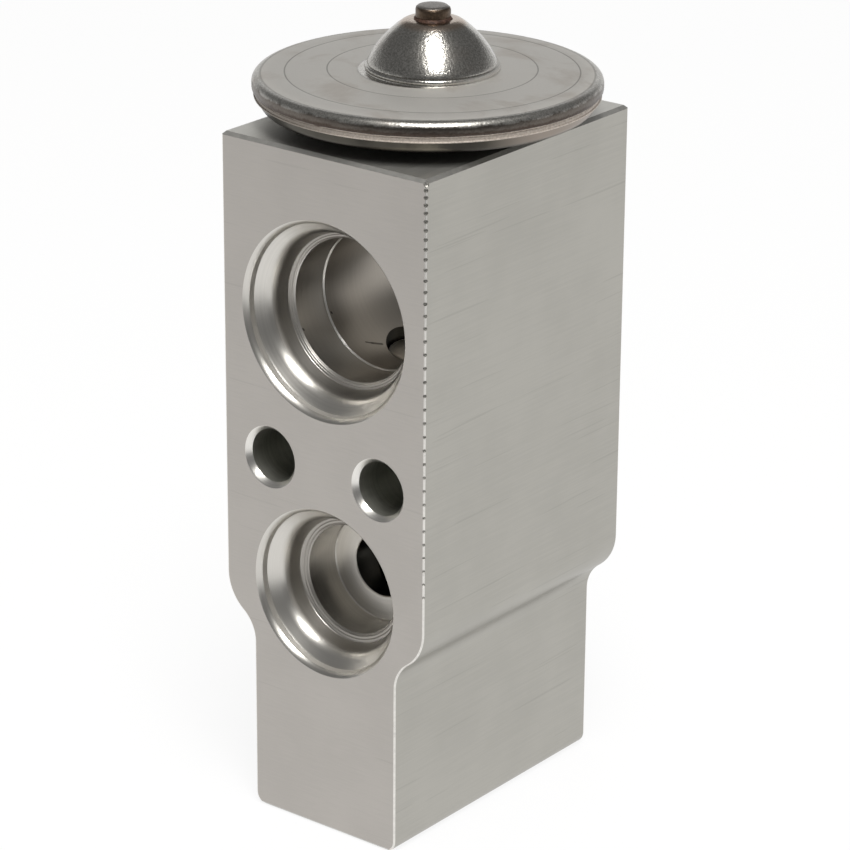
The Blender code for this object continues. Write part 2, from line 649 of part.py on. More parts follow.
def diaphragm_level(radius):
    """Underside of the sheet: flat on the plate, then a sloping wave out to the clamped rim."""
    if radius <= DIAPHRAGM_CENTRE_RADIUS:
        return diaphragm_centre_bottom
    if radius >= wave_radius:
        return diaphragm_rim_bottom
    share = (radius - DIAPHRAGM_CENTRE_RADIUS) / (wave_radius - DIAPHRAGM_CENTRE_RADIUS)
    slope = diaphragm_centre_bottom + share * (diaphragm_rim_bottom - diaphragm_centre_bottom)
    return slope + DIAPHRAGM_WAVE * math.sin(share * 2 * math.pi) * math.sin(share * math.pi)


def make_diaphragm(parts, material):
    pitch = (wave_radius - DIAPHRAGM_CENTRE_RADIUS) / DIAPHRAGM_STEPS
    wave = [DIAPHRAGM_CENTRE_RADIUS + pitch * i for i in range(DIAPHRAGM_STEPS + 1)]
    radii = [0.0] + wave + [diaphragm_radius]
    top = [(radius, diaphragm_level(radius) + DIAPHRAGM_THICKNESS) for radius in radii]
    bottom = [(radius, diaphragm_level(radius)) for radius in reversed(radii)]
    return turned("diaphragm", top + bottom, parts, material, BORE_STEPS)


def make_stop_plate(parts, material):
    """The plate under the diaphragm, with the hub that holds the rod."""
    edge = PLATE_THICKNESS / 4
    profile = [
        (0.0, plate_top), (PLATE_RADIUS - edge, plate_top), (PLATE_RADIUS, plate_top - edge),
        (PLATE_RADIUS, plate_bottom), (hub_radius, plate_bottom), (hub_radius, hub_bottom),
        (rod_bore_radius, hub_bottom), (rod_bore_radius, hub_socket_top), (0.0, hub_socket_top),
    ]
    return turned("stop_plate", profile, parts, material, BORE_STEPS)


# Seals

def make_seal(name, mean_radius, tube_radius, level, parts, material):
    bpy.ops.mesh.primitive_torus_add(
        major_segments=BORE_STEPS, minor_segments=SEAL_SIDES,
        major_radius=mean_radius, minor_radius=tube_radius,
    )
    seal = new_primitive(name)
    seal.location = (0.0, 0.0, level)
    return finish(seal, parts, material, crease=80.0)


# The rod, the valve and the spring

def make_sensing_rod(parts, material):
    chamfer = ROD_RADIUS / 5
    profile = [
        (0.0, rod_top), (ROD_RADIUS - chamfer, rod_top), (ROD_RADIUS, rod_top - chamfer),
        (ROD_RADIUS, rod_bottom + chamfer), (ROD_RADIUS - chamfer, rod_bottom), (0.0, rod_bottom),
    ]
    return turned("sensing_rod", profile, parts, material, SMALL_STEPS)


def make_seal_retainer(parts, material):
    outer = GLAND_BORE_RADIUS - SEAT_GAP
    edge = RETAINER_THICKNESS / 4
    profile = [
        (outer - edge, retainer_top), (outer, retainer_top - edge), (outer, retainer_bottom),
        (rod_bore_radius, retainer_bottom), (rod_bore_radius, retainer_top),
    ]
    return turned("seal_retainer", profile, parts, material, SMALL_STEPS, ring=True)


def make_push_pin(parts, material):
    profile = [(0.0, pin_top), (PIN_RADIUS, pin_top), (PIN_RADIUS, pin_bottom), (0.0, pin_bottom)]
    return turned("push_pin", profile, parts, material, SMALL_STEPS)


def make_valve_seat(parts, material):
    top = chamber_top + SEAT_RING_THICKNESS
    profile = [
        (seat_ring_radius, top), (seat_ring_radius, chamber_top),
        (ORIFICE_RADIUS + ORIFICE_CHAMFER, chamber_top), (ORIFICE_RADIUS, seat_edge), (ORIFICE_RADIUS, top),
    ]
    return turned("valve_seat", profile, parts, material, SMALL_STEPS, ring=True)


def make_valve_ball(parts, material):
    bpy.ops.mesh.primitive_uv_sphere_add(segments=BALL_STEPS, ring_count=BALL_STEPS // 2, radius=BALL_RADIUS)
    ball = new_primitive("valve_ball")
    ball.location = (0.0, 0.0, ball_level)
    return finish(ball, parts, material, crease=80.0)


def make_ball_carrier(parts, material):
    """Cup for the ball, flange for the spring and a nose that centres it."""
    rim_angle = math.asin(CARRIER_BOSS_DROP / socket_radius)
    socket = arc(0.0, ball_level, socket_radius, -math.pi / 2, -rim_angle, 6)
    profile = [(0.0, socket[0][1])] + socket[1:]
    profile += [
        (boss_radius, boss_top), (boss_radius, flange_top), (CARRIER_FLANGE_RADIUS, flange_top),
        (CARRIER_FLANGE_RADIUS, flange_bottom), (nose_radius, flange_bottom), (nose_radius, nose_bottom),
        (0.0, nose_bottom),
    ]
    return turned("ball_carrier", profile, parts, material, SMALL_STEPS)


def make_damping_spring(parts, cutters, material):
    """A thin cup with a slotted skirt: its fingers bear on the chamber wall and steady the carrier."""
    hole = nose_radius + SEAT_GAP
    shoulder = CARRIER_FLANGE_RADIUS
    foot = damper_top - DAMPER_LENGTH
    profile = [
        (shoulder, damper_top), (damper_foot_radius - DAMPER_THICKNESS, damper_floor - DAMPER_THICKNESS),
        (damper_foot_radius, (damper_floor + foot) / 2), (damper_foot_radius - DAMPER_THICKNESS, foot),
        (damper_foot_radius - 2 * DAMPER_THICKNESS, foot),
        (damper_foot_radius - DAMPER_THICKNESS, (damper_floor + foot) / 2),
        (damper_foot_radius - 2 * DAMPER_THICKNESS, damper_floor - DAMPER_THICKNESS),
        (shoulder - DAMPER_THICKNESS, damper_floor), (hole, damper_floor), (hole, damper_top),
    ]
    damper = turned("damping_spring", profile, parts, material, SMALL_STEPS, ring=True)
    slot_top = damper_floor - DAMPER_THICKNESS
    for index in range(DAMPER_FINGERS // 2):
        bpy.ops.mesh.primitive_cube_add(size=1.0)
        slot = new_primitive(f"cut_damper_slot_{index}")
        cutters.objects.link(slot)
        reach = 2 * (damper_foot_radius + CUT_MARGIN)
        height = DAMPER_LENGTH + CUT_MARGIN
        slot.data.transform(Matrix.Diagonal((reach, DAMPER_SLOT, height, 1.0)))
        slot.location = (0.0, 0.0, slot_top - height / 2)
        slot.rotation_euler = (0.0, 0.0, math.pi * index / (DAMPER_FINGERS // 2) + math.pi / SMALL_STEPS)
        cut(damper, as_cutter(slot))
    return damper


def spring_point(turn):
    """The wire's centre line; its first and last turn lie flat on their seats."""
    wire = 2 * SPRING_WIRE_RADIUS
    seat_turns = 0.9
    free_turns = SPRING_TURNS - 2 * seat_turns
    rise_per_turn = (spring_top - spring_bottom - 2 * wire) / free_turns
    if turn < seat_turns:
        height = wire * turn / seat_turns
    elif turn > SPRING_TURNS - seat_turns:
        height = spring_top - spring_bottom - wire * (SPRING_TURNS - turn) / seat_turns
    else:
        height = wire + rise_per_turn * (turn - seat_turns)
    angle = 2 * math.pi * turn
    return (
        SPRING_MEAN_RADIUS * math.cos(angle),
        SPRING_MEAN_RADIUS * math.sin(angle),
        spring_bottom + height,
    )


def make_superheat_spring(parts, material):
    count = int(SPRING_TURNS * SPRING_STEPS) + 1
    curve = bpy.data.curves.new("superheat_spring", "CURVE")
    curve.dimensions = "3D"
    curve.bevel_depth = SPRING_WIRE_RADIUS
    curve.bevel_resolution = 2
    curve.use_fill_caps = True
    spline = curve.splines.new("POLY")
    spline.points.add(count - 1)
    for index, point in enumerate(spline.points):
        point.co = (*spring_point(SPRING_TURNS * index / (count - 1)), 1.0)
    return mesh_from_curve("superheat_spring", curve, parts, material)


def make_adjusting_screw(parts, cutters, material):
    """Threaded plug with a seal groove, a spigot for the spring and a hexagon socket underneath."""
    chamfer = SCREW_THREAD_LENGTH / 6
    spigot_top = screw_top + SCREW_SPIGOT_LENGTH
    profile = [
        (0.0, spigot_top), (nose_radius, spigot_top), (nose_radius, screw_top),
        (SCREW_THREAD_RADIUS, screw_top), (SCREW_THREAD_RADIUS, screw_groove_top),
        (screw_groove_radius, screw_groove_top), (screw_groove_radius, screw_groove_bottom),
        (SCREW_THREAD_RADIUS, screw_groove_bottom), (SCREW_THREAD_RADIUS, SCREW_RECESS + chamfer),
        (SCREW_THREAD_RADIUS - chamfer, SCREW_RECESS), (0.0, SCREW_RECESS),
    ]
    screw = turned("adjusting_screw", profile, parts, material, BORE_STEPS)
    corner_radius = SCREW_HEX_ACROSS_FLATS / 2 / math.cos(math.pi / 6)
    socket_length = SCREW_HEX_DEPTH + CUT_MARGIN
    bpy.ops.mesh.primitive_cylinder_add(vertices=6, radius=corner_radius, depth=socket_length)
    socket = new_primitive("cut_hex_socket")
    cutters.objects.link(socket)
    socket.location = (0.0, 0.0, SCREW_RECESS + SCREW_HEX_DEPTH - socket_length / 2)
    cut(screw, as_cutter(socket))
    return screw


def main():
    clear_scene()
    parts = new_collection("block_expansion_valve")
    cutters = new_collection("cutters")
    aluminium = new_material("aluminium", (0.62, 0.60, 0.57), 0.38, 1.0)
    stainless = new_material("stainless", (0.50, 0.48, 0.44), 0.30, 1.0)
    plug_steel = new_material("plug_steel", (0.22, 0.17, 0.14), 0.45, 1.0)
    bright_steel = new_material("bright_steel", (0.60, 0.60, 0.60), 0.22, 1.0)
    spring_steel = new_material("spring_steel", (0.45, 0.45, 0.46), 0.30, 1.0)
    brass = new_material("brass", (0.70, 0.52, 0.26), 0.32, 1.0)
    rubber = new_material("rubber", (0.02, 0.035, 0.025), 0.60, 0.0)

    make_valve_body(parts, cutters, aluminium)
    make_lower_cover(parts, stainless)
    make_upper_cover(parts, stainless)
    make_charge_plug(parts, plug_steel)
    make_mounting_collar(parts, stainless)
    make_diaphragm(parts, spring_steel)
    make_stop_plate(parts, brass)
    make_sensing_rod(parts, aluminium)
    make_seal("element_seal", element_seal_radius, ELEMENT_SEAL_TUBE, element_seal_level, parts, rubber)
    make_seal("rod_seal", rod_seal_radius, ROD_SEAL_TUBE, rod_seal_level, parts, rubber)
    make_seal_retainer(parts, bright_steel)
    make_push_pin(parts, bright_steel)
    make_valve_seat(parts, bright_steel)
    make_valve_ball(parts, bright_steel)
    make_ball_carrier(parts, bright_steel)
    make_damping_spring(parts, cutters, spring_steel)
    make_superheat_spring(parts, spring_steel)
    make_adjusting_screw(parts, cutters, brass)
    make_seal("screw_seal", screw_seal_radius, SCREW_SEAL_TUBE, screw_seal_level, parts, rubber)


main()
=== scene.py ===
"""Finish of the block expansion valve: fine form, surfaces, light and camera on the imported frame."""

import math

import bmesh
import bpy
from mathutils import Matrix, Vector, noise


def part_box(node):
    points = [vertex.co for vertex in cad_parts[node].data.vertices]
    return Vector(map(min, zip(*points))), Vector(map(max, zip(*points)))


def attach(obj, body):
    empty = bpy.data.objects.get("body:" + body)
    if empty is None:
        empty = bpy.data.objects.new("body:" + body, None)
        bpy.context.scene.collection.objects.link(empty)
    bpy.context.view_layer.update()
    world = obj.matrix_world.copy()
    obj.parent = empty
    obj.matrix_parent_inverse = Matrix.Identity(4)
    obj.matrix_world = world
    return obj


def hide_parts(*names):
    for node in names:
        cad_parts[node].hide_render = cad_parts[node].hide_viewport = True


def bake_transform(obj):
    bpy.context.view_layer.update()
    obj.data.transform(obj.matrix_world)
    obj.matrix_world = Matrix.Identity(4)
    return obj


MM = 0.001
DEGREE = math.pi / 180

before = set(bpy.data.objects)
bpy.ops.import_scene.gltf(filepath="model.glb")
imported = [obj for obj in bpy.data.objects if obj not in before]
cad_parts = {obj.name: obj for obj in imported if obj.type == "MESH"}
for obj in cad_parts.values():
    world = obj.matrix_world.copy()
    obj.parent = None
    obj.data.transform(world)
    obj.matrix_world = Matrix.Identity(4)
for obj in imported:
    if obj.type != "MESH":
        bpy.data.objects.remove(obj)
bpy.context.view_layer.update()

# Camera, fitted to the photograph
CAMERA_AZIMUTH = 38.233 * DEGREE
CAMERA_ELEVATION = 21.44 * DEGREE
CAMERA_ROLL = 0.383 * DEGREE
CAMERA_DISTANCE = 391.73 * MM
CAMERA_AIM_RIGHT = -0.048 * MM
CAMERA_AIM_HEIGHT = 41.499 * MM
FOCAL_PIXELS = 3652.755
IMAGE_PIXELS = 850
SENSOR = 36.0

# Block
HALF_WIDTH, HALF_DEPTH, BLOCK_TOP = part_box("valve_body")[1]
PASSAGE_LEVEL = BLOCK_TOP - 17.92 * MM
INLET_LEVEL = PASSAGE_LEVEL - 30.28 * MM
OUTLET_LEVEL = INLET_LEVEL + 2.83 * MM
OUTLET_HOLE_LEVEL = INLET_LEVEL + 6.88 * MM
BOLT_LEVEL = (PASSAGE_LEVEL + INLET_LEVEL) / 2 - 1.47 * MM
SHOULDER_LEVEL = INLET_LEVEL - 0.87 * MM
HALF_WAIST = 9.65 * MM
SHOULDER_RADIUS = 5.2 * MM
WAIST_RADIUS = 4.0 * MM
FOOT_CORNER = 1.4 * MM
EDGE_CHAMFER = 0.37 * MM       # round the top face, and under the port face and the back
EDGE_BREAK = 0.17 * MM         # broken edge round the two machined faces
CUT_MARGIN = 2.0 * MM          # how far a cutter stands out of the face that it cuts
NICKS_TOP = BLOCK_TOP - 1.05 * MM       # row of little nicks down the near edge
NICKS_END = 30.0 * MM
NICK_PITCH, NICK_PITCH_GROWTH, NICK_PITCH_MOST = 0.74 * MM, 0.045 * MM, 1.48 * MM

# Ports
PASSAGE_RADIUS = 7.6 * MM
SUCTION_MOUTH = 10.84 * MM
SUCTION_BORE = 7.75 * MM
INLET_MOUTH = 9.42 * MM
INLET_BORE = 6.08 * MM
INLET_HOLE = 3.48 * MM
INLET_HOLE_END = 4.0 * MM
OUTLET_MOUTH = 8.9 * MM
OUTLET_BORE = 6.0 * MM
OUTLET_HOLE = 1.85 * MM
# Way from a port's mouth to the foot of its gland: in from the mouth and down from the face, in mm
LIP_STEPS = ((0.0, 0.0), (0.16, 0.13), (0.33, 0.35), (0.46, 0.58), (0.53, 1.25), (0.6, 1.33), (0.7, 1.43))
LIP_END = 1.3
CONE_STEP, CONE_END = 1.9, 2.5
GLAND_STEP, GLAND_END = 2.4, 4.6
# Rings that the tool left in the ledge: share of the ledge's width and depth in mm
LEDGE_RINGS = ((0.3, 0.08), (0.38, 0.15), (0.46, 0.1), (0.66, 0.14), (0.74, 0.21), (0.82, 0.17), (1.0, 0.3))
BORE_DEPTH = 9.3 * MM
FLOOR_DROP = 0.3 * MM
BOLT_RADIUS = 2.95 * MM
BOLT_CHAMFER = 0.5 * MM
BOLT_CHAMFER_END = 0.62 * MM    # how deep it goes
BOLT_X = 7.265 * MM             # the fixing holes stand at this distance on both sides of the middle

# Power element; its heights are given above the flange of the lower cover
FLANGE_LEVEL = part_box("lower_cover")[1][2]
DISH_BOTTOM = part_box("lower_cover")[0][2]
STAMPING_RUNOUT = Vector((0.38, 0.30, 0.0)) * MM    # the cone and rings sit a little off the rim's centre
RUNOUT_START = 17.3 * MM
RUNOUT_FULL = 15.9 * MM
SCRIBED_LINES = (10.9 * MM, 15.3 * MM)
CREASE_RADIUS = 17.3 * MM       # where the flat of the upper cover meets its rolled rim
LIGHTER_SIDE = Vector((0.79, 0.61, 0.0))    # side towards which the dish is lighter high up; the flange has painted shade on the other side

# Facets of the turned pieces, and the angle from which an edge stays sharp
FINE = 144
MEDIUM = 96
SMALL = 64
CREASE = 22.0

# Streaked metal: colour, contrast, grain, roughness, the scratches' grain and strength, depth of the bump
BRUSHED_METAL = {
    "milled": ((0.475, 0.45, 0.42), 0.035, (300.0, 300.0, 6000.0), 0.42, (60.0, 60.0, 2400.0), 0.1),
    "extruded": ((0.44, 0.428, 0.392), 0.045, (5200.0, 110.0, 5200.0), 0.4, (2600.0, 45.0, 2600.0), 0.16),
    "sawn": ((0.72, 0.71, 0.67), 0.035, (4200.0, 160.0, 4200.0), 0.5, (1800.0, 60.0, 1800.0), 0.08,
             0.001 * MM),
    "edge": ((0.78, 0.76, 0.72), 0.08, (2500.0, 2500.0, 2500.0), 0.3, (900.0, 900.0, 900.0)),
    "chamfer": ((0.60, 0.59, 0.56), 0.06, (1500.0, 1500.0, 1500.0), 0.5, (900.0, 900.0, 900.0)),
}
# Lathe-cut metal: colour, contrast, roughness, axis (none for the valve's), the rings' pitch and bump
TURNED_METAL = {
    "nick": ((0.45, 0.44, 0.41), 0.1, 0.5),
    "bolt_chamfer": ((0.82, 0.80, 0.76), 0.04, 0.31, (BOLT_X, BOLT_LEVEL), 0.12 * MM, 0.001 * MM),
    "drilled": ((0.56, 0.56, 0.51), 0.08, 0.5, (BOLT_X, BOLT_LEVEL), 0.3 * MM),
    # painted shade: the vertical bore's walls are darkened for the shade down the narrow bore
    "stem_bore": ((0.13, 0.125, 0.11), 0.1, 0.45, None, 0.2 * MM),
    "turned_steel": ((0.50, 0.49, 0.47), 0.1, 0.26),
    # painted light: the retainer is lighter than its steel, to make up for the shade in the passage
    "retainer": ((0.95, 0.91, 0.85), 0.03, 0.3),
    "ground": ((0.56, 0.55, 0.53), 0.08, 0.14, None, 0.06 * MM),
    "spring": ((0.36, 0.36, 0.36), 0.2, 0.27, None, 0.3 * MM),
    "rod": ((0.54, 0.52, 0.49), 0.1, 0.24, None, 0.18 * MM),
    "brass": ((0.62, 0.46, 0.23), 0.12, 0.25, None, 0.16 * MM),
}
# The same for each port's parts, whose axis is the port's
PORT_METAL = {
    "cone": ((0.66, 0.64, 0.60), 0.03, 0.31, 0.16 * MM, 0.0005 * MM),
    "wall": ((0.57, 0.55, 0.515), 0.04, 0.36, 0.16 * MM, 0.0005 * MM),
    "ledge": ((0.40, 0.38, 0.35), 0.1, 0.4, 0.25 * MM, 0.002 * MM),
    "bore": ((0.68, 0.655, 0.61), 0.04, 0.34, 0.3 * MM, 0.0005 * MM),
    "hole": ((0.16, 0.155, 0.14), 0.03, 0.3, 0.3 * MM, 0.0002 * MM),
    "ring": ((0.85, 0.83, 0.79), 0.05, 0.35, 0.12 * MM, 0.002 * MM),
    "lip": ((0.82, 0.80, 0.76), 0.04, 0.5, 0.12 * MM, 0.002 * MM),
}
PASSAGE_COLOUR = (0.39, 0.36, 0.32)
# Painted shade of the scribed lines and the crease on the flat, also the colour of a speck
DARK_LINE = (0.22, 0.215, 0.20)
# Scratch beside the rod's hole and two specks: both ends from the passage's middle and half the width, in mm
MARKS = {
    "suction_hole": [
        ((-4.08, -5.08, -6.41), (-3.7, -4.4, -6.64), 0.15),
        ((-3.75, -4.5, -6.61), (-3.21, -3.47, -6.89), 0.22),
        ((-6.96, -7.4, -3.05), (-6.9, -7.3, -3.19), 0.14),
    ],
    "suction_bore": [((-6.86, -12.11, -3.61), (-6.8, -12.05, -3.72), 0.17)],
}

# Light
HOOD_RADIUS = 0.9
LAMP_DISTANCE = 0.75
AIM = Vector((0.0, 0.0, 45 * MM))


# Mesh helpers

def arc(centre_x, centre_y, radius, start, end, count):
    step = (end - start) / (count - 1)
    return [(centre_x + radius * math.cos(start + step * i), centre_y + radius * math.sin(start + step * i))
            for i in range(count)]


def swept(centre, first, swing, count):
    """Points of an arc round the centre; the first stands at the given offset from it."""
    return [tuple(centre + Matrix.Rotation(-swing * i / (count - 1), 2) @ first) for i in range(count)]


def rounded(points, corner, radius, count):
    """The points with the corner at one index turned into an arc."""
    before, tip, after = (Vector(points[i]) for i in (corner - 1, corner, corner + 1))
    to_before = (before - tip).normalized()
    to_after = (after - tip).normalized()
    half_angle = to_before.angle(to_after) / 2
    reach = min(radius / math.tan(half_angle), (before - tip).length / 2, (after - tip).length / 2)
    size = reach * math.tan(half_angle)
    centre = tip + (to_before + to_after).normalized() * (size / math.sin(half_angle))
    first = tip + to_before * reach - centre
    last = tip + to_after * reach - centre
    bend = swept(centre, first, first.angle_signed(last), count)
    return points[:corner] + bend + points[corner + 1:]


def softened(points, radius, count=4):
    """Every inner corner of an open profile rounded a little."""
    corner = 1
    while corner < len(points) - 1:
        size = len(points)
        points = rounded(points, corner, radius, count)
        corner += 1 + len(points) - size
    return points


def bulged(start, end, bulge, count):
    """An arc from one point to the other that stands out to the left of the way by the bulge."""
    start, end = Vector(start), Vector(end)
    chord = end - start
    radius = chord.length_squared / (8 * bulge) + bulge / 2
    left = Vector((-chord.y, chord.x)).normalized()
    centre = (start + end) / 2 + left * (bulge - radius)
    first = start - centre
    return swept(centre, first, first.angle_signed(end - centre), count)


def add_object(name, mesh, crease=CREASE):
    obj = bpy.data.objects.new(name, mesh)
    bpy.context.scene.collection.objects.link(obj)
    mesh.shade_smooth()
    mesh.set_sharp_from_angle(angle=crease * DEGREE)
    return obj


def object_from(shape, name, crease=CREASE):
    """Ends a bmesh and makes it an object."""
    mesh = bpy.data.meshes.new(name)
    shape.to_mesh(mesh)
    shape.free()
    return add_object(name, mesh, crease)


def turned(name, profile, steps, ring=False, crease=CREASE):
    """A profile of (radius, height) points turned about Z. It runs down the outer side."""
    shape = bmesh.new()
    rows = []
    for radius, height in profile:
        if radius == 0.0:
            rows.append([shape.verts.new((0.0, 0.0, height))] * steps)
            continue
        angles = [2 * math.pi * i / steps for i in range(steps)]
        rows.append([shape.verts.new((radius * math.cos(a), radius * math.sin(a), height)) for a in angles])
    if ring:
        rows.append(rows[0])
    for upper, lower in zip(rows, rows[1:]):
        for i in range(steps):
            j = (i + 1) % steps
            corners = []
            for vertex in (upper[i], lower[i], lower[j], upper[j]):
                if vertex not in corners:
                    corners.append(vertex)
            shape.faces.new(corners)
    shape.normal_update()
    return object_from(shape, name, crease)


def turned_size(node):
    """Radius, foot and top of a node that is turned about the valve's axis."""
    low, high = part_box(node)
    return high[0], low[2], high[2]


def lay_along_y(obj, x, y, z, towards=-1):
    """Turns a piece made along Z so that its top looks to -Y, or to +Y."""
    turn = Matrix.Rotation(-towards * math.pi / 2, 4, "X")
    obj.data.transform(Matrix.Translation((x, y, z)) @ turn)


def dress(obj, body, slot, surface, *nodes):
    """Gives a piece its place in the frame, and one surface unless its faces are painted already.

    A piece without a body is left unattached.
    """
    if surface:
        obj.data.materials.clear()
        obj.data.materials.append(surfaces[surface])
    if body:
        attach(obj, body)
    if nodes:
        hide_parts(*nodes)


def paint(obj, names, chooser):
    """Each face takes the one of the named surfaces that the chooser gives for its centre and normal."""
    for name in names:
        obj.data.materials.append(surfaces[name])
    for polygon in obj.data.polygons:
        polygon.material_index = names.index(chooser(polygon.center, polygon.normal))


def apply_cutters(obj, cutters):
    for cutter in cutters:
        boolean = obj.modifiers.new(cutter.name, "BOOLEAN")
        boolean.operation = "DIFFERENCE"
        boolean.solver = "EXACT"
        boolean.material_mode = "TRANSFER"
        boolean.object = cutter
    graph = bpy.context.evaluated_depsgraph_get()
    mesh = bpy.data.meshes.new_from_object(obj.evaluated_get(graph))
    obj.modifiers.clear()
    obj.data = mesh
    for cutter in cutters:
        bpy.data.objects.remove(cutter, do_unlink=True)
    mesh.shade_smooth()
    mesh.set_sharp_from_angle(angle=CREASE * DEGREE)


# Material helpers

class Nodes:
    """Short hand for building one material's node tree."""

    def __init__(self, name):
        self.material = bpy.data.materials.new(name)
        self.material.use_nodes = True
        self.tree = self.material.node_tree
        self.shader = self.tree.nodes["Principled BSDF"]
        self.place = self.tree.nodes.new("ShaderNodeTexCoord").outputs["Object"]

    def new(self, kind, values=(), **settings):
        """A node with its settings; its inputs take the values, each a number, a tuple or another output."""
        node = self.tree.nodes.new(kind)
        for key, setting in settings.items():
            setattr(node, key, setting)
        for value, socket in zip(values, node.inputs):
            self.link(value, socket)
        return node

    def link(self, value, socket):
        if hasattr(value, "links"):
            self.tree.links.new(value, socket)
        else:
            socket.default_value = value

    def math(self, operation, first, second=0.0, third=0.0):
        return self.new("ShaderNodeMath", (first, second, third), operation=operation).outputs[0]

    def times(self, first, second):
        return self.math("MULTIPLY", first, second)

    def varied(self, level, noise, amount):
        """The level, moved up and down by a noise."""
        return self.math("MULTIPLY_ADD", self.math("SUBTRACT", noise, 0.5), amount, level)

    def vector(self, operation, first, second=(0.0, 0.0, 0.0)):
        node = self.new("ShaderNodeVectorMath", (first,), operation=operation)
        self.link(second, node.inputs["Scale" if operation == "SCALE" else 1])
        return node.outputs["Value" if operation in ("LENGTH", "DISTANCE", "DOT_PRODUCT") else "Vector"]

    def split(self):
        return self.new("ShaderNodeSeparateXYZ", (self.place,)).outputs

    def join(self, x, y, z):
        return self.new("ShaderNodeCombineXYZ", (x, y, z)).outputs[0]

    def noise(self, vector, scale=1.0, detail=2.0, roughness=0.5, distortion=0.0):
        node = self.new("ShaderNodeTexNoise", (vector,))
        node.inputs["Scale"].default_value = scale
        node.inputs["Detail"].default_value = detail
        node.inputs["Roughness"].default_value = roughness
        node.inputs["Distortion"].default_value = distortion
        return node.outputs["Fac"]

    def ramp(self, value, low, high, to_low=0.0, to_high=1.0):
        """A smooth step between two values."""
        node = self.new("ShaderNodeMapRange", (value, low, high, to_low, to_high),
                        interpolation_type="SMOOTHSTEP")
        return node.outputs[0]

    def mix(self, share, first, second):
        node = self.new("ShaderNodeMix", data_type="RGBA")
        self.link(share, node.inputs["Factor"])
        for value, name in ((first, "A"), (second, "B")):
            self.link((*value, 1.0) if isinstance(value, tuple) else value, node.inputs[name])
        return node.outputs["Result"]

    def bump(self, height, depth, strength=1.0):
        node = self.new("ShaderNodeBump")
        node.inputs["Strength"].default_value = strength
        node.inputs["Distance"].default_value = depth
        self.link(height, node.inputs["Height"])
        return node.outputs["Normal"]

    def finish(self, colour, roughness, metallic=1.0, normal=None):
        self.link((*colour, 1.0) if isinstance(colour, tuple) else colour, self.shader.inputs["Base Color"])
        self.link(roughness, self.shader.inputs["Roughness"])
        self.shader.inputs["Metallic"].default_value = metallic
        if normal is not None:
            self.link(normal, self.shader.inputs["Normal"])
        return self.material


def scaled(colour, factor):
    return tuple(factor * part for part in colour)


def along(m, way):
    """How far the place lies towards a direction."""
    return m.vector("DOT_PRODUCT", m.place, way)


def distance_from_axis(m, centre=(0.0, 0.0)):
    """How far the place lies from the valve's axis, or from one beside it."""
    x, y = m.split()[:2]
    across = m.join(m.math("SUBTRACT", x, centre[0]), m.math("SUBTRACT", y, centre[1]), 0.0)
    return m.vector("LENGTH", across)


def line_at(m, radius, place, half_width):
    """One on a circle of the given radius, falling to nothing at the half width on each side."""
    return m.ramp(m.math("ABSOLUTE", m.math("SUBTRACT", radius, place)), half_width, half_width * 0.3)


def brushed(name, colour, contrast, grain, rough, scratch_grain, scratch=0.15, depth=0.002 * MM):
    """Metal with fine streaks and scratches; both grains are frequencies a metre along X, Y and Z."""
    m = Nodes(name)
    streaks = m.noise(m.vector("MULTIPLY", m.place, grain), detail=5.0, roughness=0.6)
    broad = m.noise(m.place, scale=110.0, detail=3.0, roughness=0.55)
    tone = m.ramp(m.varied(streaks, broad, 0.8), 0.25, 0.75)
    shade = m.mix(tone, scaled(colour, 1 - contrast), scaled(colour, 1 + contrast))
    scratches = m.ramp(m.noise(m.vector("MULTIPLY", m.place, scratch_grain), detail=1.0), 0.69, 0.72)
    shade = m.mix(m.times(scratches, scratch), shade, scaled(colour, 0.4))
    return m.finish(shade, m.varied(rough, streaks, 0.15), normal=m.bump(streaks, depth, 0.5))


def mark(m, first, last, half_width):
    """One on the short line between two points, falling to nothing at the half width from it."""
    first, last = Vector(first), Vector(last)
    half = (last - first).length / 2
    way = (last - first).normalized()
    offset = m.vector("SUBTRACT", m.place, (first + last) / 2)
    reach = m.math("MINIMUM", m.math("MAXIMUM", m.vector("DOT_PRODUCT", offset, way), -half), half)
    gap = m.vector("DISTANCE", offset, m.vector("SCALE", way, reach))
    return m.ramp(gap, half_width, half_width * 0.4)


def turned_metal(name, colour, contrast, rough, axis=None, ring_pitch=0.12 * MM, depth=0.002 * MM, marks=()):
    """Lathe-cut metal with fine rings, and dark marks if it has any.

    The rings run round Z, or round axes along Y at the given distance from X = 0 and the given height.
    """
    m = Nodes(name)
    x, y, z = m.split()
    if axis is None:
        across, length = m.join(x, y, 0.0), z
    else:
        sideways = m.math("SUBTRACT", m.math("ABSOLUTE", x), axis[0])
        across, length = m.join(sideways, 0.0, m.math("SUBTRACT", z, axis[1])), y
    radius = m.vector("LENGTH", across)
    track = m.join(m.times(radius, 1 / ring_pitch), m.times(length, 1 / ring_pitch), 0.0)
    rings = m.noise(track, detail=3.0, roughness=0.65)
    broad = m.noise(m.place, scale=160.0, detail=3.0)
    tone = m.ramp(m.varied(rings, broad, 0.6), 0.3, 0.7)
    shade = m.mix(tone, scaled(colour, 1 - contrast), scaled(colour, 1 + contrast))
    for first, last, half_width in marks:
        shade = m.mix(m.times(mark(m, first, last, half_width), 0.85), shade, scaled(colour, 0.2))
    return m.finish(shade, m.varied(rough, rings, 0.12), normal=m.bump(rings, depth, 0.6))


# The block

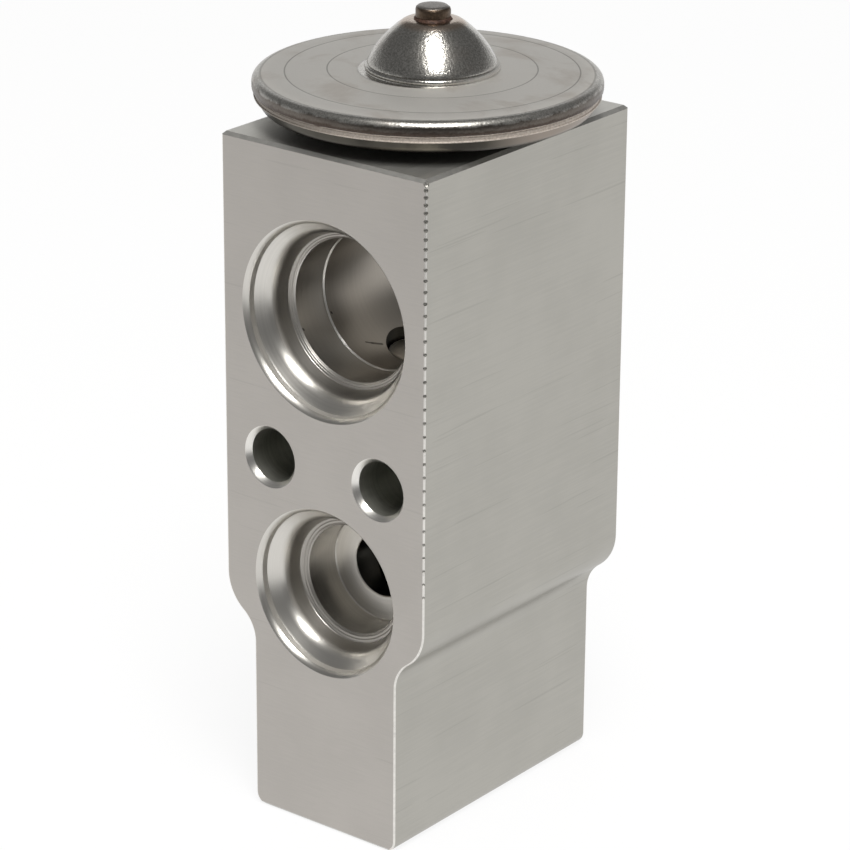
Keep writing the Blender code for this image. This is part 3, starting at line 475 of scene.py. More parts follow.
def block_outline():
    bend = SHOULDER_RADIUS + WAIST_RADIUS
    sweep = math.acos(1 - (HALF_WIDTH - HALF_WAIST) / bend)
    waist_level = SHOULDER_LEVEL - bend * math.sin(sweep)
    right = arc(HALF_WAIST - FOOT_CORNER, FOOT_CORNER, FOOT_CORNER, -math.pi / 2, 0, 10)
    right += arc(HALF_WAIST + WAIST_RADIUS, waist_level, WAIST_RADIUS, math.pi, math.pi - sweep, 14)
    right += arc(HALF_WIDTH - SHOULDER_RADIUS, SHOULDER_LEVEL, SHOULDER_RADIUS, -sweep, 0, 16)[1:]
    right.append((HALF_WIDTH, BLOCK_TOP))
    return right + [(-x, z) for x, z in reversed(right)]


def make_extrusion():
    shape = bmesh.new()
    front = [shape.verts.new((x, -HALF_DEPTH, z)) for x, z in block_outline()]
    face = shape.faces.new(front)
    pushed = bmesh.ops.extrude_face_region(shape, geom=[face])["geom"]
    moved = [item for item in pushed if isinstance(item, bmesh.types.BMVert)]
    bmesh.ops.translate(shape, verts=moved, vec=(0.0, 2 * HALF_DEPTH, 0.0))
    bmesh.ops.recalc_face_normals(shape, faces=shape.faces)
    rims = [edge for edge in shape.edges if abs(edge.verts[0].co.y - edge.verts[1].co.y) < MM]
    bmesh.ops.bevel(shape, geom=rims, offset=EDGE_BREAK, segments=2, affect="EDGES", profile=0.5)
    return object_from(shape, "machined_block")


def edge_bar(name, edge, outward):
    """A square bar over an edge through the given point, whose flat takes the chamfer off."""
    across = Vector(outward).normalized()
    lengthwise = Vector((0.0, 1.0, 0.0)) if across.x else Vector((1.0, 0.0, 0.0))
    shape = bmesh.new()
    bmesh.ops.create_cube(shape, size=1.0)
    turn = Matrix((lengthwise, across.cross(lengthwise), across)).transposed().to_4x4()
    place = Matrix.Translation(Vector(edge) + across * (CUT_MARGIN / 2 - EDGE_CHAMFER / math.sqrt(2)))
    size = Matrix.Diagonal((3 * HALF_DEPTH, CUT_MARGIN, CUT_MARGIN, 1.0))
    bmesh.ops.transform(shape, matrix=place @ turn @ size, verts=shape.verts)
    bar = object_from(shape, name)
    bar.data.materials.append(surfaces["chamfer"])
    return bar


def edge_bars():
    """Bars for the four edges of the top face, then for the foot's front and back edge."""
    edges = ((-1, 0, 1), (1, 0, 1), (0, -1, 1), (0, 1, 1), (0, -1, -1), (0, 1, -1))
    return [edge_bar("cut_edge", (x * HALF_WIDTH, y * HALF_DEPTH, BLOCK_TOP if z > 0 else 0.0), (x, y, z))
            for x, y, z in edges]


def port_form(mouth, bore):
    """Radius and depth of the seal gland's steps, from the face inwards to the edge of the bore."""
    steps = LIP_STEPS + ((CONE_STEP, CONE_END), (GLAND_STEP, GLAND_END))
    form = [(mouth - drop * MM, depth * MM) for drop, depth in steps]
    ledge = mouth - GLAND_STEP * MM
    form += [(ledge - (ledge - bore) * share, (GLAND_END + depth) * MM) for share, depth in LEDGE_RINGS]
    gland_foot = len(steps) - 1
    form = rounded(form, gland_foot, 0.4 * MM, 5)
    return rounded(form, gland_foot - 1, 2.5 * MM, 10)


def paint_port(cutter, port, bore, face):
    """Each step of the port takes its own finish; the face is the height where its depths start."""
    def part(centre, normal):
        depth = abs(abs(centre.z) - face)
        flat = abs(normal.z)
        if centre.xy.length < bore * 1.005:
            if BORE_DEPTH - 0.01 * MM < depth < BORE_DEPTH + 0.2 * MM and 0.3 < flat < 0.9:
                return "ring"
            return "hole" if depth > BORE_DEPTH and flat < 0.7 else "bore"
        if depth < LIP_END * MM and flat < 0.3:
            return "lip"
        if depth < (CONE_END + 0.2) * MM:
            return "cone"
        return "ledge" if flat > 0.7 else "wall"

    names = [port + "_" + name for name in PORT_METAL]
    paint(cutter, names, lambda centre, normal: port + "_" + part(centre, normal))


def suction_cutter():
    form = port_form(SUCTION_MOUTH, SUCTION_BORE)
    form += [(SUCTION_BORE, BORE_DEPTH), (PASSAGE_RADIUS, BORE_DEPTH + 0.17 * MM)]
    upper = [(radius, HALF_DEPTH - depth) for radius, depth in form]
    lower = [(radius, -height) for radius, height in reversed(upper)]
    end = HALF_DEPTH + CUT_MARGIN
    profile = [(0.0, end), (SUCTION_MOUTH, end)] + upper + lower + [(SUCTION_MOUTH, -end), (0.0, -end)]
    cutter = turned("cut_suction", profile, FINE)
    paint_port(cutter, "suction", SUCTION_BORE, HALF_DEPTH)
    lay_along_y(cutter, 0.0, 0.0, PASSAGE_LEVEL)
    return cutter


def blind_cutter(port, mouth, bore, level, towards, hole=None):
    profile = [(0.0, CUT_MARGIN), (mouth, CUT_MARGIN)]
    profile += [(radius, -depth) for radius, depth in port_form(mouth, bore)]
    profile += [(bore, -BORE_DEPTH + 0.1 * MM), (bore - 0.1 * MM, -BORE_DEPTH)]
    if hole is None:
        profile.append((0.0, -BORE_DEPTH - FLOOR_DROP))
    else:
        radius, depth = hole
        floor = -BORE_DEPTH - FLOOR_DROP
        profile += [(radius + 0.1 * MM, floor), (radius, floor - 0.1 * MM), (radius, -depth), (0.0, -depth)]
    cutter = turned("cut_" + port, profile, FINE)
    paint_port(cutter, port, bore, 0.0)
    lay_along_y(cutter, 0.0, towards * HALF_DEPTH, level, towards)
    return cutter


def bolt_cutter(name, x):
    end = HALF_DEPTH + CUT_MARGIN
    mouth = BOLT_RADIUS + BOLT_CHAMFER
    bore_end = HALF_DEPTH - BOLT_CHAMFER_END
    front = [(0.0, end), (mouth, end), (mouth, HALF_DEPTH), (mouth - 0.11 * MM, HALF_DEPTH - 0.09 * MM),
             (BOLT_RADIUS, bore_end)]
    back = [(radius, -height) for radius, height in reversed(front)]
    cutter = turned(name, front + back, MEDIUM)
    paint(cutter, ("bolt_chamfer", "drilled"),
          lambda centre, normal: "drilled" if abs(centre.z) < bore_end else "bolt_chamfer")
    lay_along_y(cutter, x, 0.0, BOLT_LEVEL)
    return cutter


def outlet_hole_cutter():
    start = HALF_DEPTH - BORE_DEPTH + FLOOR_DROP
    profile = [(0.0, start), (OUTLET_HOLE, start), (OUTLET_HOLE, 0.0), (0.0, 0.0)]
    cutter = turned("cut_outlet_hole", profile, SMALL)
    cutter.data.materials.append(surfaces["drilled"])
    lay_along_y(cutter, 0.0, 0.0, OUTLET_HOLE_LEVEL, towards=1)
    return cutter


def stem_bore_cutter():
    """The steps of the vertical bore, from the top face to the foot, as in the frame."""
    steps_down = [
        (11.2, BLOCK_TOP - 1.6 * MM), (9.5, BLOCK_TOP - 8.0 * MM), (7.0, PASSAGE_LEVEL),
        (4.25, PASSAGE_LEVEL - 11.89 * MM), (2.3, OUTLET_HOLE_LEVEL + 5.31 * MM),
        (1.4, OUTLET_HOLE_LEVEL + 2.71 * MM), (3.0, OUTLET_LEVEL + 1.9 * MM), (3.6, OUTLET_LEVEL),
        (5.2, 8.5 * MM), (6.2, 0.7 * MM),
    ]
    level = BLOCK_TOP + CUT_MARGIN
    profile = [(0.0, level)]
    for radius, floor in steps_down:
        profile += [(radius * MM, level), (radius * MM, floor)]
        level = floor
    profile += [(6.9 * MM, 0.0), (6.9 * MM, -CUT_MARGIN), (0.0, -CUT_MARGIN)]
    cutter = turned("cut_stem_bore", profile, MEDIUM)
    cutter.data.materials.append(surfaces["stem_bore"])
    return cutter


def chatter_cutter():
    """Little nicks that the face cutter left along the near edge, and the chip at the corner above them.

    The nicks grow smaller downwards and their pitch grows.
    """
    shape = bmesh.new()
    level, pitch = NICKS_TOP, NICK_PITCH
    while level > NICKS_END:
        reach = (0.17 + 0.17 * (level - NICKS_END) / (BLOCK_TOP - NICKS_END)) * MM
        place = Matrix.Translation((HALF_WIDTH - 0.02 * MM, -HALF_DEPTH + 0.02 * MM, level))
        place @= Matrix.Diagonal((reach, reach, 0.15 * MM + 0.2 * reach, 1.0))
        bmesh.ops.create_icosphere(shape, subdivisions=2, radius=1.0, matrix=place)
        level -= pitch
        pitch = min(pitch + NICK_PITCH_GROWTH, NICK_PITCH_MOST)
    chip = Matrix.Translation((HALF_WIDTH - 0.02 * MM, -HALF_DEPTH + 0.1 * MM, BLOCK_TOP - 0.42 * MM))
    bmesh.ops.create_icosphere(shape, subdivisions=2, radius=0.36 * MM, matrix=chip)
    cutter = object_from(shape, "cut_nicks")
    cutter.data.materials.append(surfaces["nick"])
    return cutter


def block_face(centre, normal):
    """The port face and the back are milled, the sides extruded, and the top and the foot sawn."""
    if abs(normal.y) > 0.999:
        return "milled"
    if abs(normal.y) > 0.05:
        return "edge"
    return "sawn" if abs(normal.z) > 0.999 else "extruded"


def make_block():
    block = make_extrusion()
    paint(block, ("milled", "extruded", "sawn", "edge"), block_face)
    inlet_hole = (INLET_HOLE, HALF_DEPTH - INLET_HOLE_END)
    apply_cutters(block, edge_bars() + [
        suction_cutter(), stem_bore_cutter(),
        blind_cutter("inlet", INLET_MOUTH, INLET_BORE, INLET_LEVEL, -1, inlet_hole),
        blind_cutter("outlet", OUTLET_MOUTH, OUTLET_BORE, OUTLET_LEVEL, 1),
        outlet_hole_cutter(), bolt_cutter("cut_bolt_left", -BOLT_X), bolt_cutter("cut_bolt_right", BOLT_X),
        chatter_cutter(),
    ])
    dress(block, "valve_block", "block_aluminium", None, "valve_body")


# The power element

def shift_centre(obj):
    """Moves the middle of the stamping off the rim's centre, fading out before the rim."""
    for vertex in obj.data.vertices:
        share = (RUNOUT_START - vertex.co.xy.length) / (RUNOUT_START - RUNOUT_FULL)
        share = min(max(share, 0.0), 1.0)
        vertex.co += STAMPING_RUNOUT * (share * share * (3 - 2 * share))


def above_flange(points):
    """Points in millimetres, with their heights taken from the flange."""
    return [(radius * MM, FLANGE_LEVEL + height * MM) for radius, height in points]


def scribed(radius, level, width=0.09, depth=0.012):
    """A scribed line in the flat of the cover."""
    return [(radius - width, level), (radius - width / 3, level - depth), (radius + width / 3, level - depth),
            (radius + width, level)]


def make_upper_cover():
    outer = [(1.2, 7.33), (2.4, 7.33), (2.8, 7.27), (3.05, 7.17)]
    outer += bulged((3.2, 7.08), (6.78, 2.87), 0.34, 20)
    outer += [(6.8, 2.77), (6.76, 2.69)]
    outer += arc(6.72, 2.33, 0.34, 75 * DEGREE, -35 * DEGREE, 12)
    outer += [(7.02, 2.06), (7.12, 1.99), (7.3, 1.96)]
    for radius, level in zip(SCRIBED_LINES, (2.02, 1.77)):
        outer += scribed(radius / MM, level)
    outer += [(16.4, 1.69), (17.05, 1.62)]
    outer += arc(17.42, 0.75, 0.82, 88 * DEGREE, 0, 14)
    outer += [(18.24, 0.36), (18.21, 0.2), (18.14, 0.12), (18.05, 0.1)]
    inner = [(17.94, 0.16), (17.94, 0.34), (17.59, 0.36), (17.59, 0.8), (15.9, 0.8), (15.4, 0.9), (7.7, 0.95),
             (6.2, 1.75), (6.0, 2.55)]
    inner += bulged((6.0, 2.55), (2.5, 6.2), -0.42, 12)[1:] + [(1.2, 6.35)]
    cover = turned("upper_cover_stamping", above_flange(outer + inner), FINE, ring=True)
    shift_centre(cover)
    dress(cover, "valve_block", "cover_steel", "cover", "upper_cover")


def make_lower_cover():
    """The dish: a rough welded edge, a rolled lip under it and a rounded flank down to the floor."""
    floor = (DISH_BOTTOM - FLANGE_LEVEL) / MM
    outer = [(17.3, 0.0), (17.7, -0.01), (17.82, -0.06), (17.9, -0.16), (17.94, -0.42)]
    outer += arc(17.96, -0.52, 0.1, 80 * DEGREE, -70 * DEGREE, 6)
    outer += [(17.84, -0.64)]
    shoulder = [(17.62, -0.66), (17.35, -1.75), (13.4, floor + 0.08), (11.8, floor)]
    outer += rounded(shoulder, 1, 1.8, 12) + [(5.0, floor)]
    inner = [(5.0, floor + 0.8), (11.8, floor + 0.8), (12.3, floor + 0.95), (16.0, -0.3), (16.4, 0.0)]
    cover = turned("lower_cover_stamping", above_flange(outer + inner), FINE, ring=True)
    lip_radius, lip_level = 17.2 * MM, FLANGE_LEVEL - 0.6 * MM

    def part(centre, normal):
        return "raw_flange" if centre.z > lip_level and centre.xy.length > lip_radius else "dish"

    paint(cover, ("dish", "raw_flange"), part)
    dress(cover, "valve_block", "cover_steel", None, "lower_cover")


def make_rim_weld():
    """The uneven bead that joins the two covers all round the rim."""
    circle = [2 * math.pi * i / 16 for i in range(16)]
    profile = above_flange([(17.74 + 0.24 * math.cos(a), 0.02 + 0.14 * math.sin(a)) for a in circle])
    weld = turned("rim_weld", list(reversed(profile)), 640, ring=True, crease=60.0)
    for vertex in weld.data.vertices:
        outwards = Vector((vertex.co.x, vertex.co.y, 0.0)).normalized()
        rough = noise.noise(vertex.co * 1400) + 0.6 * noise.noise(vertex.co * 3600)
        vertex.co += outwards * (0.06 * MM * rough)
        vertex.co.z += 0.05 * MM * noise.noise(vertex.co * 900)
    dress(weld, "valve_block", "cover_steel", "raw_flange")


def make_charge_plug():
    profile = [(0.0, 8.73), (1.1, 8.75), (1.55, 8.71), (1.76, 8.55), (1.85, 8.3), (1.83, 7.95), (1.8, 7.6),
               (0.9, 7.6), (0.9, 6.2), (0.0, 6.2)]
    plug = turned("charge_plug_pin", above_flange(profile), SMALL, crease=40.0)
    wobble(plug, 0.05, 900, above=FLANGE_LEVEL + 7.65 * MM)
    shift_centre(plug)
    dress(plug, "valve_block", "plug_steel", "plug", "charge_plug")


def make_plug_braze():
    """The brown ring round the plug's foot."""
    ring = [(0.95, 7.59), (1.82, 7.58), (1.88, 7.5), (2.0, 7.41), (2.04, 7.33), (1.95, 7.27), (0.95, 7.5)]
    braze = turned("plug_braze", above_flange(ring), MEDIUM, ring=True, crease=60.0)
    wobble(braze, 0.07, 1500)
    shift_centre(braze)
    dress(braze, "valve_block", "plug_steel", "rust")


def wobble(obj, share, scale, above=0.0):
    """Moves the points above a level in and out by a noise, up to a share of their radius."""
    for vertex in obj.data.vertices:
        if vertex.co.z > above:
            vertex.co += Vector((vertex.co.x, vertex.co.y, 0.0)) * (share * noise.noise(vertex.co * scale))


def thread(obj, radius, pitch, depth, bottom, top):
    """Presses a helical thread into the outer wall of a turned piece that has rows fine enough for it."""
    for vertex in obj.data.vertices:
        across = math.hypot(vertex.co.x, vertex.co.y)
        if across < radius - 0.02 * MM or not bottom < vertex.co.z < top:
            continue
        phase = (vertex.co.z / pitch - math.atan2(vertex.co.y, vertex.co.x) / (2 * math.pi)) % 1.0
        fade = min((vertex.co.z - bottom) / pitch, (top - vertex.co.z) / pitch, 1.0)
        shrink = 1 - depth * fade * abs(2 * phase - 1) / radius
        vertex.co.x *= shrink
        vertex.co.y *= shrink


def rows(radius, top, bottom, pitch):
    """Points down a straight wall, eight to a thread."""
    count = max(int((top - bottom) / (pitch / 8)), 1)
    return [(radius, top - (top - bottom) * i / count) for i in range(count + 1)]


def make_collar():
    radius, foot, top = turned_size("mounting_collar")
    wall, pitch = 2.7 * MM, 1.5 * MM
    outer = [(radius - 0.5 * MM, top)] + rows(radius, top - 0.5 * MM, foot + 0.6 * MM, pitch)
    profile = outer + [(radius - 0.9 * MM, foot), (radius - wall, foot), (radius - wall, top)]
    collar = turned("mounting_collar_thread", profile, MEDIUM, ring=True, crease=50.0)
    thread(collar, radius, pitch, 0.75 * MM, foot + 0.6 * MM, top - 1.2 * MM)
    dress(collar, "valve_block", "cover_steel", "turned_steel", "mounting_collar")


def make_diaphragm():
    """Thin corrugated sheet that runs from the plate up to the clamped rim."""
    rim, foot, top = turned_size("diaphragm")
    clamp, centre, thick = 15.8 * MM, 8.4 * MM, 0.2 * MM
    radii = [centre * i / 6 for i in range(7)] + [centre + (rim - centre) * i / 60 for i in range(1, 61)]

    def level(radius):
        share = min(max((radius - centre) / (clamp - centre), 0.0), 1.0)
        slope = foot + (top - thick - foot) * share
        return slope + 0.1 * MM * math.sin(share * 8 * math.pi) * math.sin(share * math.pi)

    upper = [(radius, level(radius) + thick) for radius in radii]
    lower = [(radius, level(radius)) for radius in reversed(radii)]
    sheet = turned("diaphragm_sheet", upper + lower, MEDIUM, crease=60.0)
    dress(sheet, None, "spring_steel", "spring", "diaphragm")
    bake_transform(sheet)


# The stem and what it carries

def make_stop_plate():
    radius, foot, top = turned_size("stop_plate")
    under, recess, hub, hole = top - 1.0 * MM, top - 0.7 * MM, 4.2 * MM, 2.3 * MM
    profile = softened([
        (0.0, top), (radius, top), (radius, under), (hub, under), (hub, foot), (hole, foot),
        (hole, recess), (0.0, recess),
    ], 0.2 * MM)
    dress(turned("stop_plate_turned", profile, MEDIUM), "valve_stem", "brass", "brass", "stop_plate")


def make_rod(name, node, slot, surface, edge):
    """A plain rod of the stem, with rounded ends."""
    radius, foot, top = turned_size(node)
    profile = softened([(0.0, top), (radius, top), (radius, foot), (0.0, foot)], edge)
    dress(turned(name, profile, SMALL), "valve_stem", slot, surface, node)


def make_ball():
    radius, foot, top = turned_size("valve_ball")
    middle, pole = (foot + top) / 2, 85 * DEGREE
    profile = [(0.0, top)] + arc(0.0, middle, radius, pole, -pole, 35) + [(0.0, foot)]
    dress(turned("valve_ball_ground", profile, SMALL, crease=60.0), "valve_stem", "bright_steel", "ground",
          "valve_ball")


def make_carrier():
    """The cup under the ball, with the flange that the spring pushes and a spigot inside the spring."""
    radius, foot, top = turned_size("ball_carrier")
    ball_radius, ball_foot, ball_top = turned_size("valve_ball")
    ball_level = (ball_foot + ball_top) / 2
    socket_radius = ball_radius + 0.3 * MM
    rim = math.asin((ball_level - top) / socket_radius)
    socket = arc(0.0, ball_level, socket_radius, -math.pi / 2, -rim, 16)
    flange = ball_level - socket_radius - 0.5 * MM
    under, wall, spigot = flange - 1.3 * MM, socket[-1][0] + 0.6 * MM, 2.3 * MM
    outer = softened([
        socket[-1], (wall, top), (wall, flange), (radius, flange), (radius, under), (spigot, under),
        (spigot, foot), (0.0, foot),
    ], 0.15 * MM)
    profile = [(0.0, socket[0][1])] + socket[1:-1] + outer
    dress(turned("ball_carrier_turned", profile, SMALL), "valve_stem", "bright_steel", "turned_steel",
          "ball_carrier")


def make_damper():
    """The cup whose fingers bear on the chamber's wall, cut apart by three slots across it."""
    radius, foot, top = turned_size("damping_spring")
    sheet, hole, shoulder = 0.3 * MM, 2.6 * MM, 4.0 * MM
    middle = (top - sheet + foot) / 2
    profile = [
        (hole, top), (shoulder, top), (radius - sheet, top - 2 * sheet), (radius, middle),
        (radius - sheet, foot), (radius - 2 * sheet, foot), (radius - sheet, middle),
        (radius - 2 * sheet, top - 2 * sheet), (shoulder - sheet, top - sheet), (hole, top - sheet),
    ]
    damper = turned("damping_spring_fingers", profile, MEDIUM, ring=True, crease=40.0)
    slots = []
    for index in range(3):
        shape = bmesh.new()
        bmesh.ops.create_cube(shape, size=1.0)
        turn = Matrix.Rotation(math.pi * index / 3 + math.pi / 20, 4, "Z")
        height = top - foot
        place = Matrix.Translation((0.0, 0.0, top - 2 * sheet - height / 2))
        size = Matrix.Diagonal((4 * radius, 1.9 * MM, height, 1.0))
        bmesh.ops.transform(shape, matrix=turn @ place @ size, verts=shape.verts)
        slots.append(object_from(shape, f"cut_slot_{index}"))
    apply_cutters(damper, slots)
    dress(damper, "valve_stem", "spring_steel", "spring", "damping_spring")


# Rings, spring and adjusting screw

def make_retainer():
    """The ring that holds the rod's seal, level with the floor of the passage."""
    radius, foot, _ = turned_size("seal_retainer")
    hole, top = 2.3 * MM, PASSAGE_LEVEL - PASSAGE_RADIUS - 0.05 * MM
    profile = softened([(hole, top), (radius, top), (radius, foot), (hole, foot)], 0.15 * MM)
    retainer = turned("seal_retainer_ring", profile, MEDIUM, ring=True)
    dress(retainer, "valve_block", "bright_steel", "retainer", "seal_retainer")


def make_seat():
    radius, foot, top = turned_size("valve_seat")
    hole, chamfer, edge = 1.7 * MM, 0.25 * MM, 0.1 * MM
    outer = [(radius - edge, top), (radius, top - edge), (radius, foot)]
    profile = [(hole, top)] + softened(outer, 0.05 * MM)
    profile += [(hole + chamfer, foot), (hole, foot + chamfer)]
    seat = turned("valve_seat_ring", profile, MEDIUM, ring=True)
    dress(seat, "valve_block", "bright_steel", "ground", "valve_seat")


def make_seal(node, body):
    radius, foot, top = turned_size(node)
    tube = (top - foot) / 2
    circle = arc(radius - tube, (foot + top) / 2, tube, 2 * math.pi, 2 * math.pi / 24, 24)
    dress(turned(node + "_ring", circle, MEDIUM, ring=True, crease=60.0), body, "rubber", "rubber", node)


def coil_path(foot, top, wire):
    """Points along the wire of a coil spring between two heights, with nearly closed turns at both ends."""
    mean, turns, seat_turns = 3.2 * MM, 5.5, 0.9
    bottom, length = foot + wire, top - foot - 2 * wire
    rise = (length - 4 * wire) / (turns - 2 * seat_turns)
    count = int(turns * 32)
    points = []
    for index in range(count + 1):
        turn = turns * index / count
        if turn < seat_turns:
            height = 2 * wire * turn / seat_turns
        elif turn > turns - seat_turns:
            height = length - 2 * wire * (turns - turn) / seat_turns
        else:
            height = 2 * wire + rise * (turn - seat_turns)
        angle = 2 * math.pi * turn
        points.append((mean * math.cos(angle), mean * math.sin(angle), bottom + height, 1.0))
    return points


def make_spring():
    _, foot, top = turned_size("superheat_spring")
    wire = 0.45 * MM
    points = coil_path(foot, top, wire)
    curve = bpy.data.curves.new("coil", "CURVE")
    curve.dimensions = "3D"
    curve.bevel_depth = wire
    curve.bevel_resolution = 4
    curve.use_fill_caps = True
    spline = curve.splines.new("POLY")
    spline.points.add(len(points) - 1)
    for point, place in zip(spline.points, points):
        point.co = place
    source = bpy.data.objects.new("coil", curve)
    bpy.context.scene.collection.objects.link(source)
    graph = bpy.context.evaluated_depsgraph_get()
    mesh = bpy.data.meshes.new_from_object(source.evaluated_get(graph))
    bpy.data.objects.remove(source, do_unlink=True)
    spring = add_object("superheat_coil", mesh, crease=50.0)
    dress(spring, None, "spring_steel", "spring", "superheat_spring")
    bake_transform(spring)


def make_adjusting_screw():
    """The threaded plug in the foot: spigot, groove for its seal, thread and a hexagon socket of 5 mm."""
    radius, foot, top = turned_size("adjusting_screw")
    pitch = 1.0 * MM
    groove_bottom, groove_top, shoulder = foot + 3.3 * MM, foot + 5.2 * MM, foot + 6.5 * MM
    spigot, groove, lead_in = 2.3 * MM, 4.3 * MM, 0.5 * MM
    profile = [(0.0, top), (spigot - 0.2 * MM, top), (spigot, top - 0.2 * MM), (spigot, shoulder),
               (radius - 0.15 * MM, shoulder), (radius, shoulder - 0.15 * MM), (radius, groove_top),
               (groove, groove_top), (groove, groove_bottom)]
    profile += rows(radius, groove_bottom, foot + lead_in, pitch)
    profile += [(radius - lead_in, foot), (0.0, foot)]
    screw = turned("adjusting_screw_thread", profile, MEDIUM, crease=50.0)
    thread(screw, radius, pitch, 0.5 * MM, foot + lead_in, groove_bottom - 0.05 * MM)
    corner, mouth, floor, below = 2.887 * MM, 3.2 * MM, foot + 3.4 * MM, foot - 1.0 * MM
    hexagon = turned("cut_hexagon", [
        (0.0, floor), (corner, floor), (corner, foot + 0.3 * MM), (mouth, foot - 0.01 * MM), (mouth, below),
        (0.0, below),
    ], 6)
    apply_cutters(screw, [hexagon])
    dress(screw, "adjuster", "brass", "brass", "adjusting_screw")


# Surfaces

def flat_line_shade_and_speck(m, steel, radius):
    """The steel with painted shade along both scribed lines and the crease before the rim, and a dark speck.
    """
    from_centre = distance_from_axis(m, STAMPING_RUNOUT)
    # painted shade in both scribed lines
    for place in SCRIBED_LINES:
        steel = m.mix(m.times(line_at(m, from_centre, place, 0.11 * MM), 0.6), steel, DARK_LINE)
    level = FLANGE_LEVEL + 1.78 * MM
    speck = mark(m, (11.1 * MM, 2.65 * MM, level), (11.3 * MM, 2.85 * MM, level), 0.2 * MM)
    steel = m.mix(m.times(speck, 0.6), steel, DARK_LINE)
    # painted shade at the crease before the rim
    return m.mix(m.times(line_at(m, radius, CREASE_RADIUS, 0.12 * MM), 0.3), steel, DARK_LINE)


def rim_heat_tint_and_painted_reflection(m, steel, radius, height, speckle):
    """The steel with the rim's foot darkened, partly the weld's heat tint and partly painted dark reflection,
    burnt brown at the very edge.
    """
    at_rim = m.ramp(radius, CREASE_RADIUS, 17.6 * MM)
    cloud = m.ramp(m.noise(m.place, scale=520.0, detail=4.0, roughness=0.65), 0.3, 0.6)
    edge = m.varied(height, cloud, 0.25 * MM)
    low_down = m.ramp(edge, FLANGE_LEVEL + 1.25 * MM, FLANGE_LEVEL + 0.95 * MM)
    burnt = m.ramp(edge, FLANGE_LEVEL + 0.68 * MM, FLANGE_LEVEL + 0.42 * MM)
    # painted dark reflection down the rim's foot, with the brown tint of the weld's heat
    dark_band = m.mix(speckle, (0.078, 0.064, 0.053), (0.138, 0.118, 0.10))
    dark_band = m.mix(burnt, dark_band, (0.045, 0.028, 0.02))
    return m.mix(m.times(m.times(at_rim, low_down), 0.92), steel, dark_band)


def cover_steel():
    """Satin stainless: a speckled cone with a stained neck, a dull flat and a glossier rim."""
    m = Nodes("cover_steel_satin")
    radius, height = distance_from_axis(m), m.split()[2]
    flat = m.times(m.ramp(radius, 7.1 * MM, 7.5 * MM), m.ramp(radius, 17.5 * MM, 17.2 * MM))
    speckle = m.noise(m.place, scale=5200.0, detail=3.0, roughness=0.7)
    dimples = m.noise(m.place, scale=3600.0, detail=1.0)
    cloud = m.noise(m.place, scale=190.0, detail=4.0, roughness=0.6, distortion=0.4)
    steel = m.mix(m.ramp(speckle, 0.34, 0.66), (0.34, 0.33, 0.305), (0.57, 0.555, 0.52))
    steel = m.mix(m.times(flat, 0.93), steel, (0.64, 0.625, 0.597))
    steel = m.mix(m.ramp(cloud, 0.5, 0.75, 0.0, 0.3), steel, (0.36, 0.30, 0.25))
    neck = m.times(m.ramp(height, FLANGE_LEVEL + 6.6 * MM, FLANGE_LEVEL + 7.15 * MM), 0.85)
    steel = m.mix(neck, steel, m.mix(speckle, (0.34, 0.26, 0.20), (0.56, 0.46, 0.38)))
    # painted shade along the flat's lines and crease, and a speck
    steel = flat_line_shade_and_speck(m, steel, radius)
    # the rim's foot darkened: heat tint and painted dark reflection
    steel = rim_heat_tint_and_painted_reflection(m, steel, radius, height, speckle)
    gloss = m.math("MULTIPLY_ADD", flat, 0.48, m.ramp(radius, 16.0 * MM, CREASE_RADIUS, 0.23, 0.34))
    grain = m.times(dimples, m.math("MULTIPLY_ADD", flat, -0.93, 1.0))
    return m.finish(steel, m.varied(gloss, cloud, 0.12), normal=m.bump(grain, 0.024 * MM, 1.0))


def dish_steel():
    """The dish, dark all over and lighter high up on one side."""
    m = Nodes("dish_steel")
    cloud = m.noise(m.place, scale=260.0, detail=4.0)
    colour = m.mix(m.ramp(cloud, 0.35, 0.7), (0.08, 0.074, 0.062), (0.045, 0.041, 0.035))
    high_up = m.ramp(m.split()[2], FLANGE_LEVEL - 2.1 * MM, FLANGE_LEVEL - 1.3 * MM, 0.0, 0.85)
    lighter_high_side = m.times(m.ramp(along(m, LIGHTER_SIDE), 5.0 * MM, 12.0 * MM), high_up)
    colour = m.mix(lighter_high_side, colour, (0.33, 0.285, 0.245))
    return m.finish(colour, m.math("MULTIPLY_ADD", cloud, 0.12, 0.26))


def raw_flange():
    """The rough, heat-bleached edge at the weld, with painted shade on one side and ragged brown spots above.
    """
    m = Nodes("raw_flange")
    grain = m.noise(m.place, scale=4200.0, detail=3.0, roughness=0.7)
    cloud = m.noise(m.place, scale=700.0, detail=4.0)
    light = m.mix(m.ramp(grain, 0.3, 0.7), (0.38, 0.33, 0.285), (0.56, 0.50, 0.44))
    # painted shade on the flange, on the side away from the lighter side
    painted_shade_side = m.ramp(along(m, LIGHTER_SIDE), -6.0 * MM, -15.0 * MM, 0.0, 0.75)
    light = m.mix(painted_shade_side, light, (0.17, 0.145, 0.12))
    edge = m.varied(m.split()[2], cloud, 1.0 * MM)
    brown = m.ramp(edge, FLANGE_LEVEL + 0.12 * MM, FLANGE_LEVEL + 0.26 * MM, 0.0, 0.85)
    colour = m.mix(brown, light, (0.10, 0.06, 0.045))
    return m.finish(colour, 0.5, metallic=0.35, normal=m.bump(grain, 0.02 * MM, 0.8))


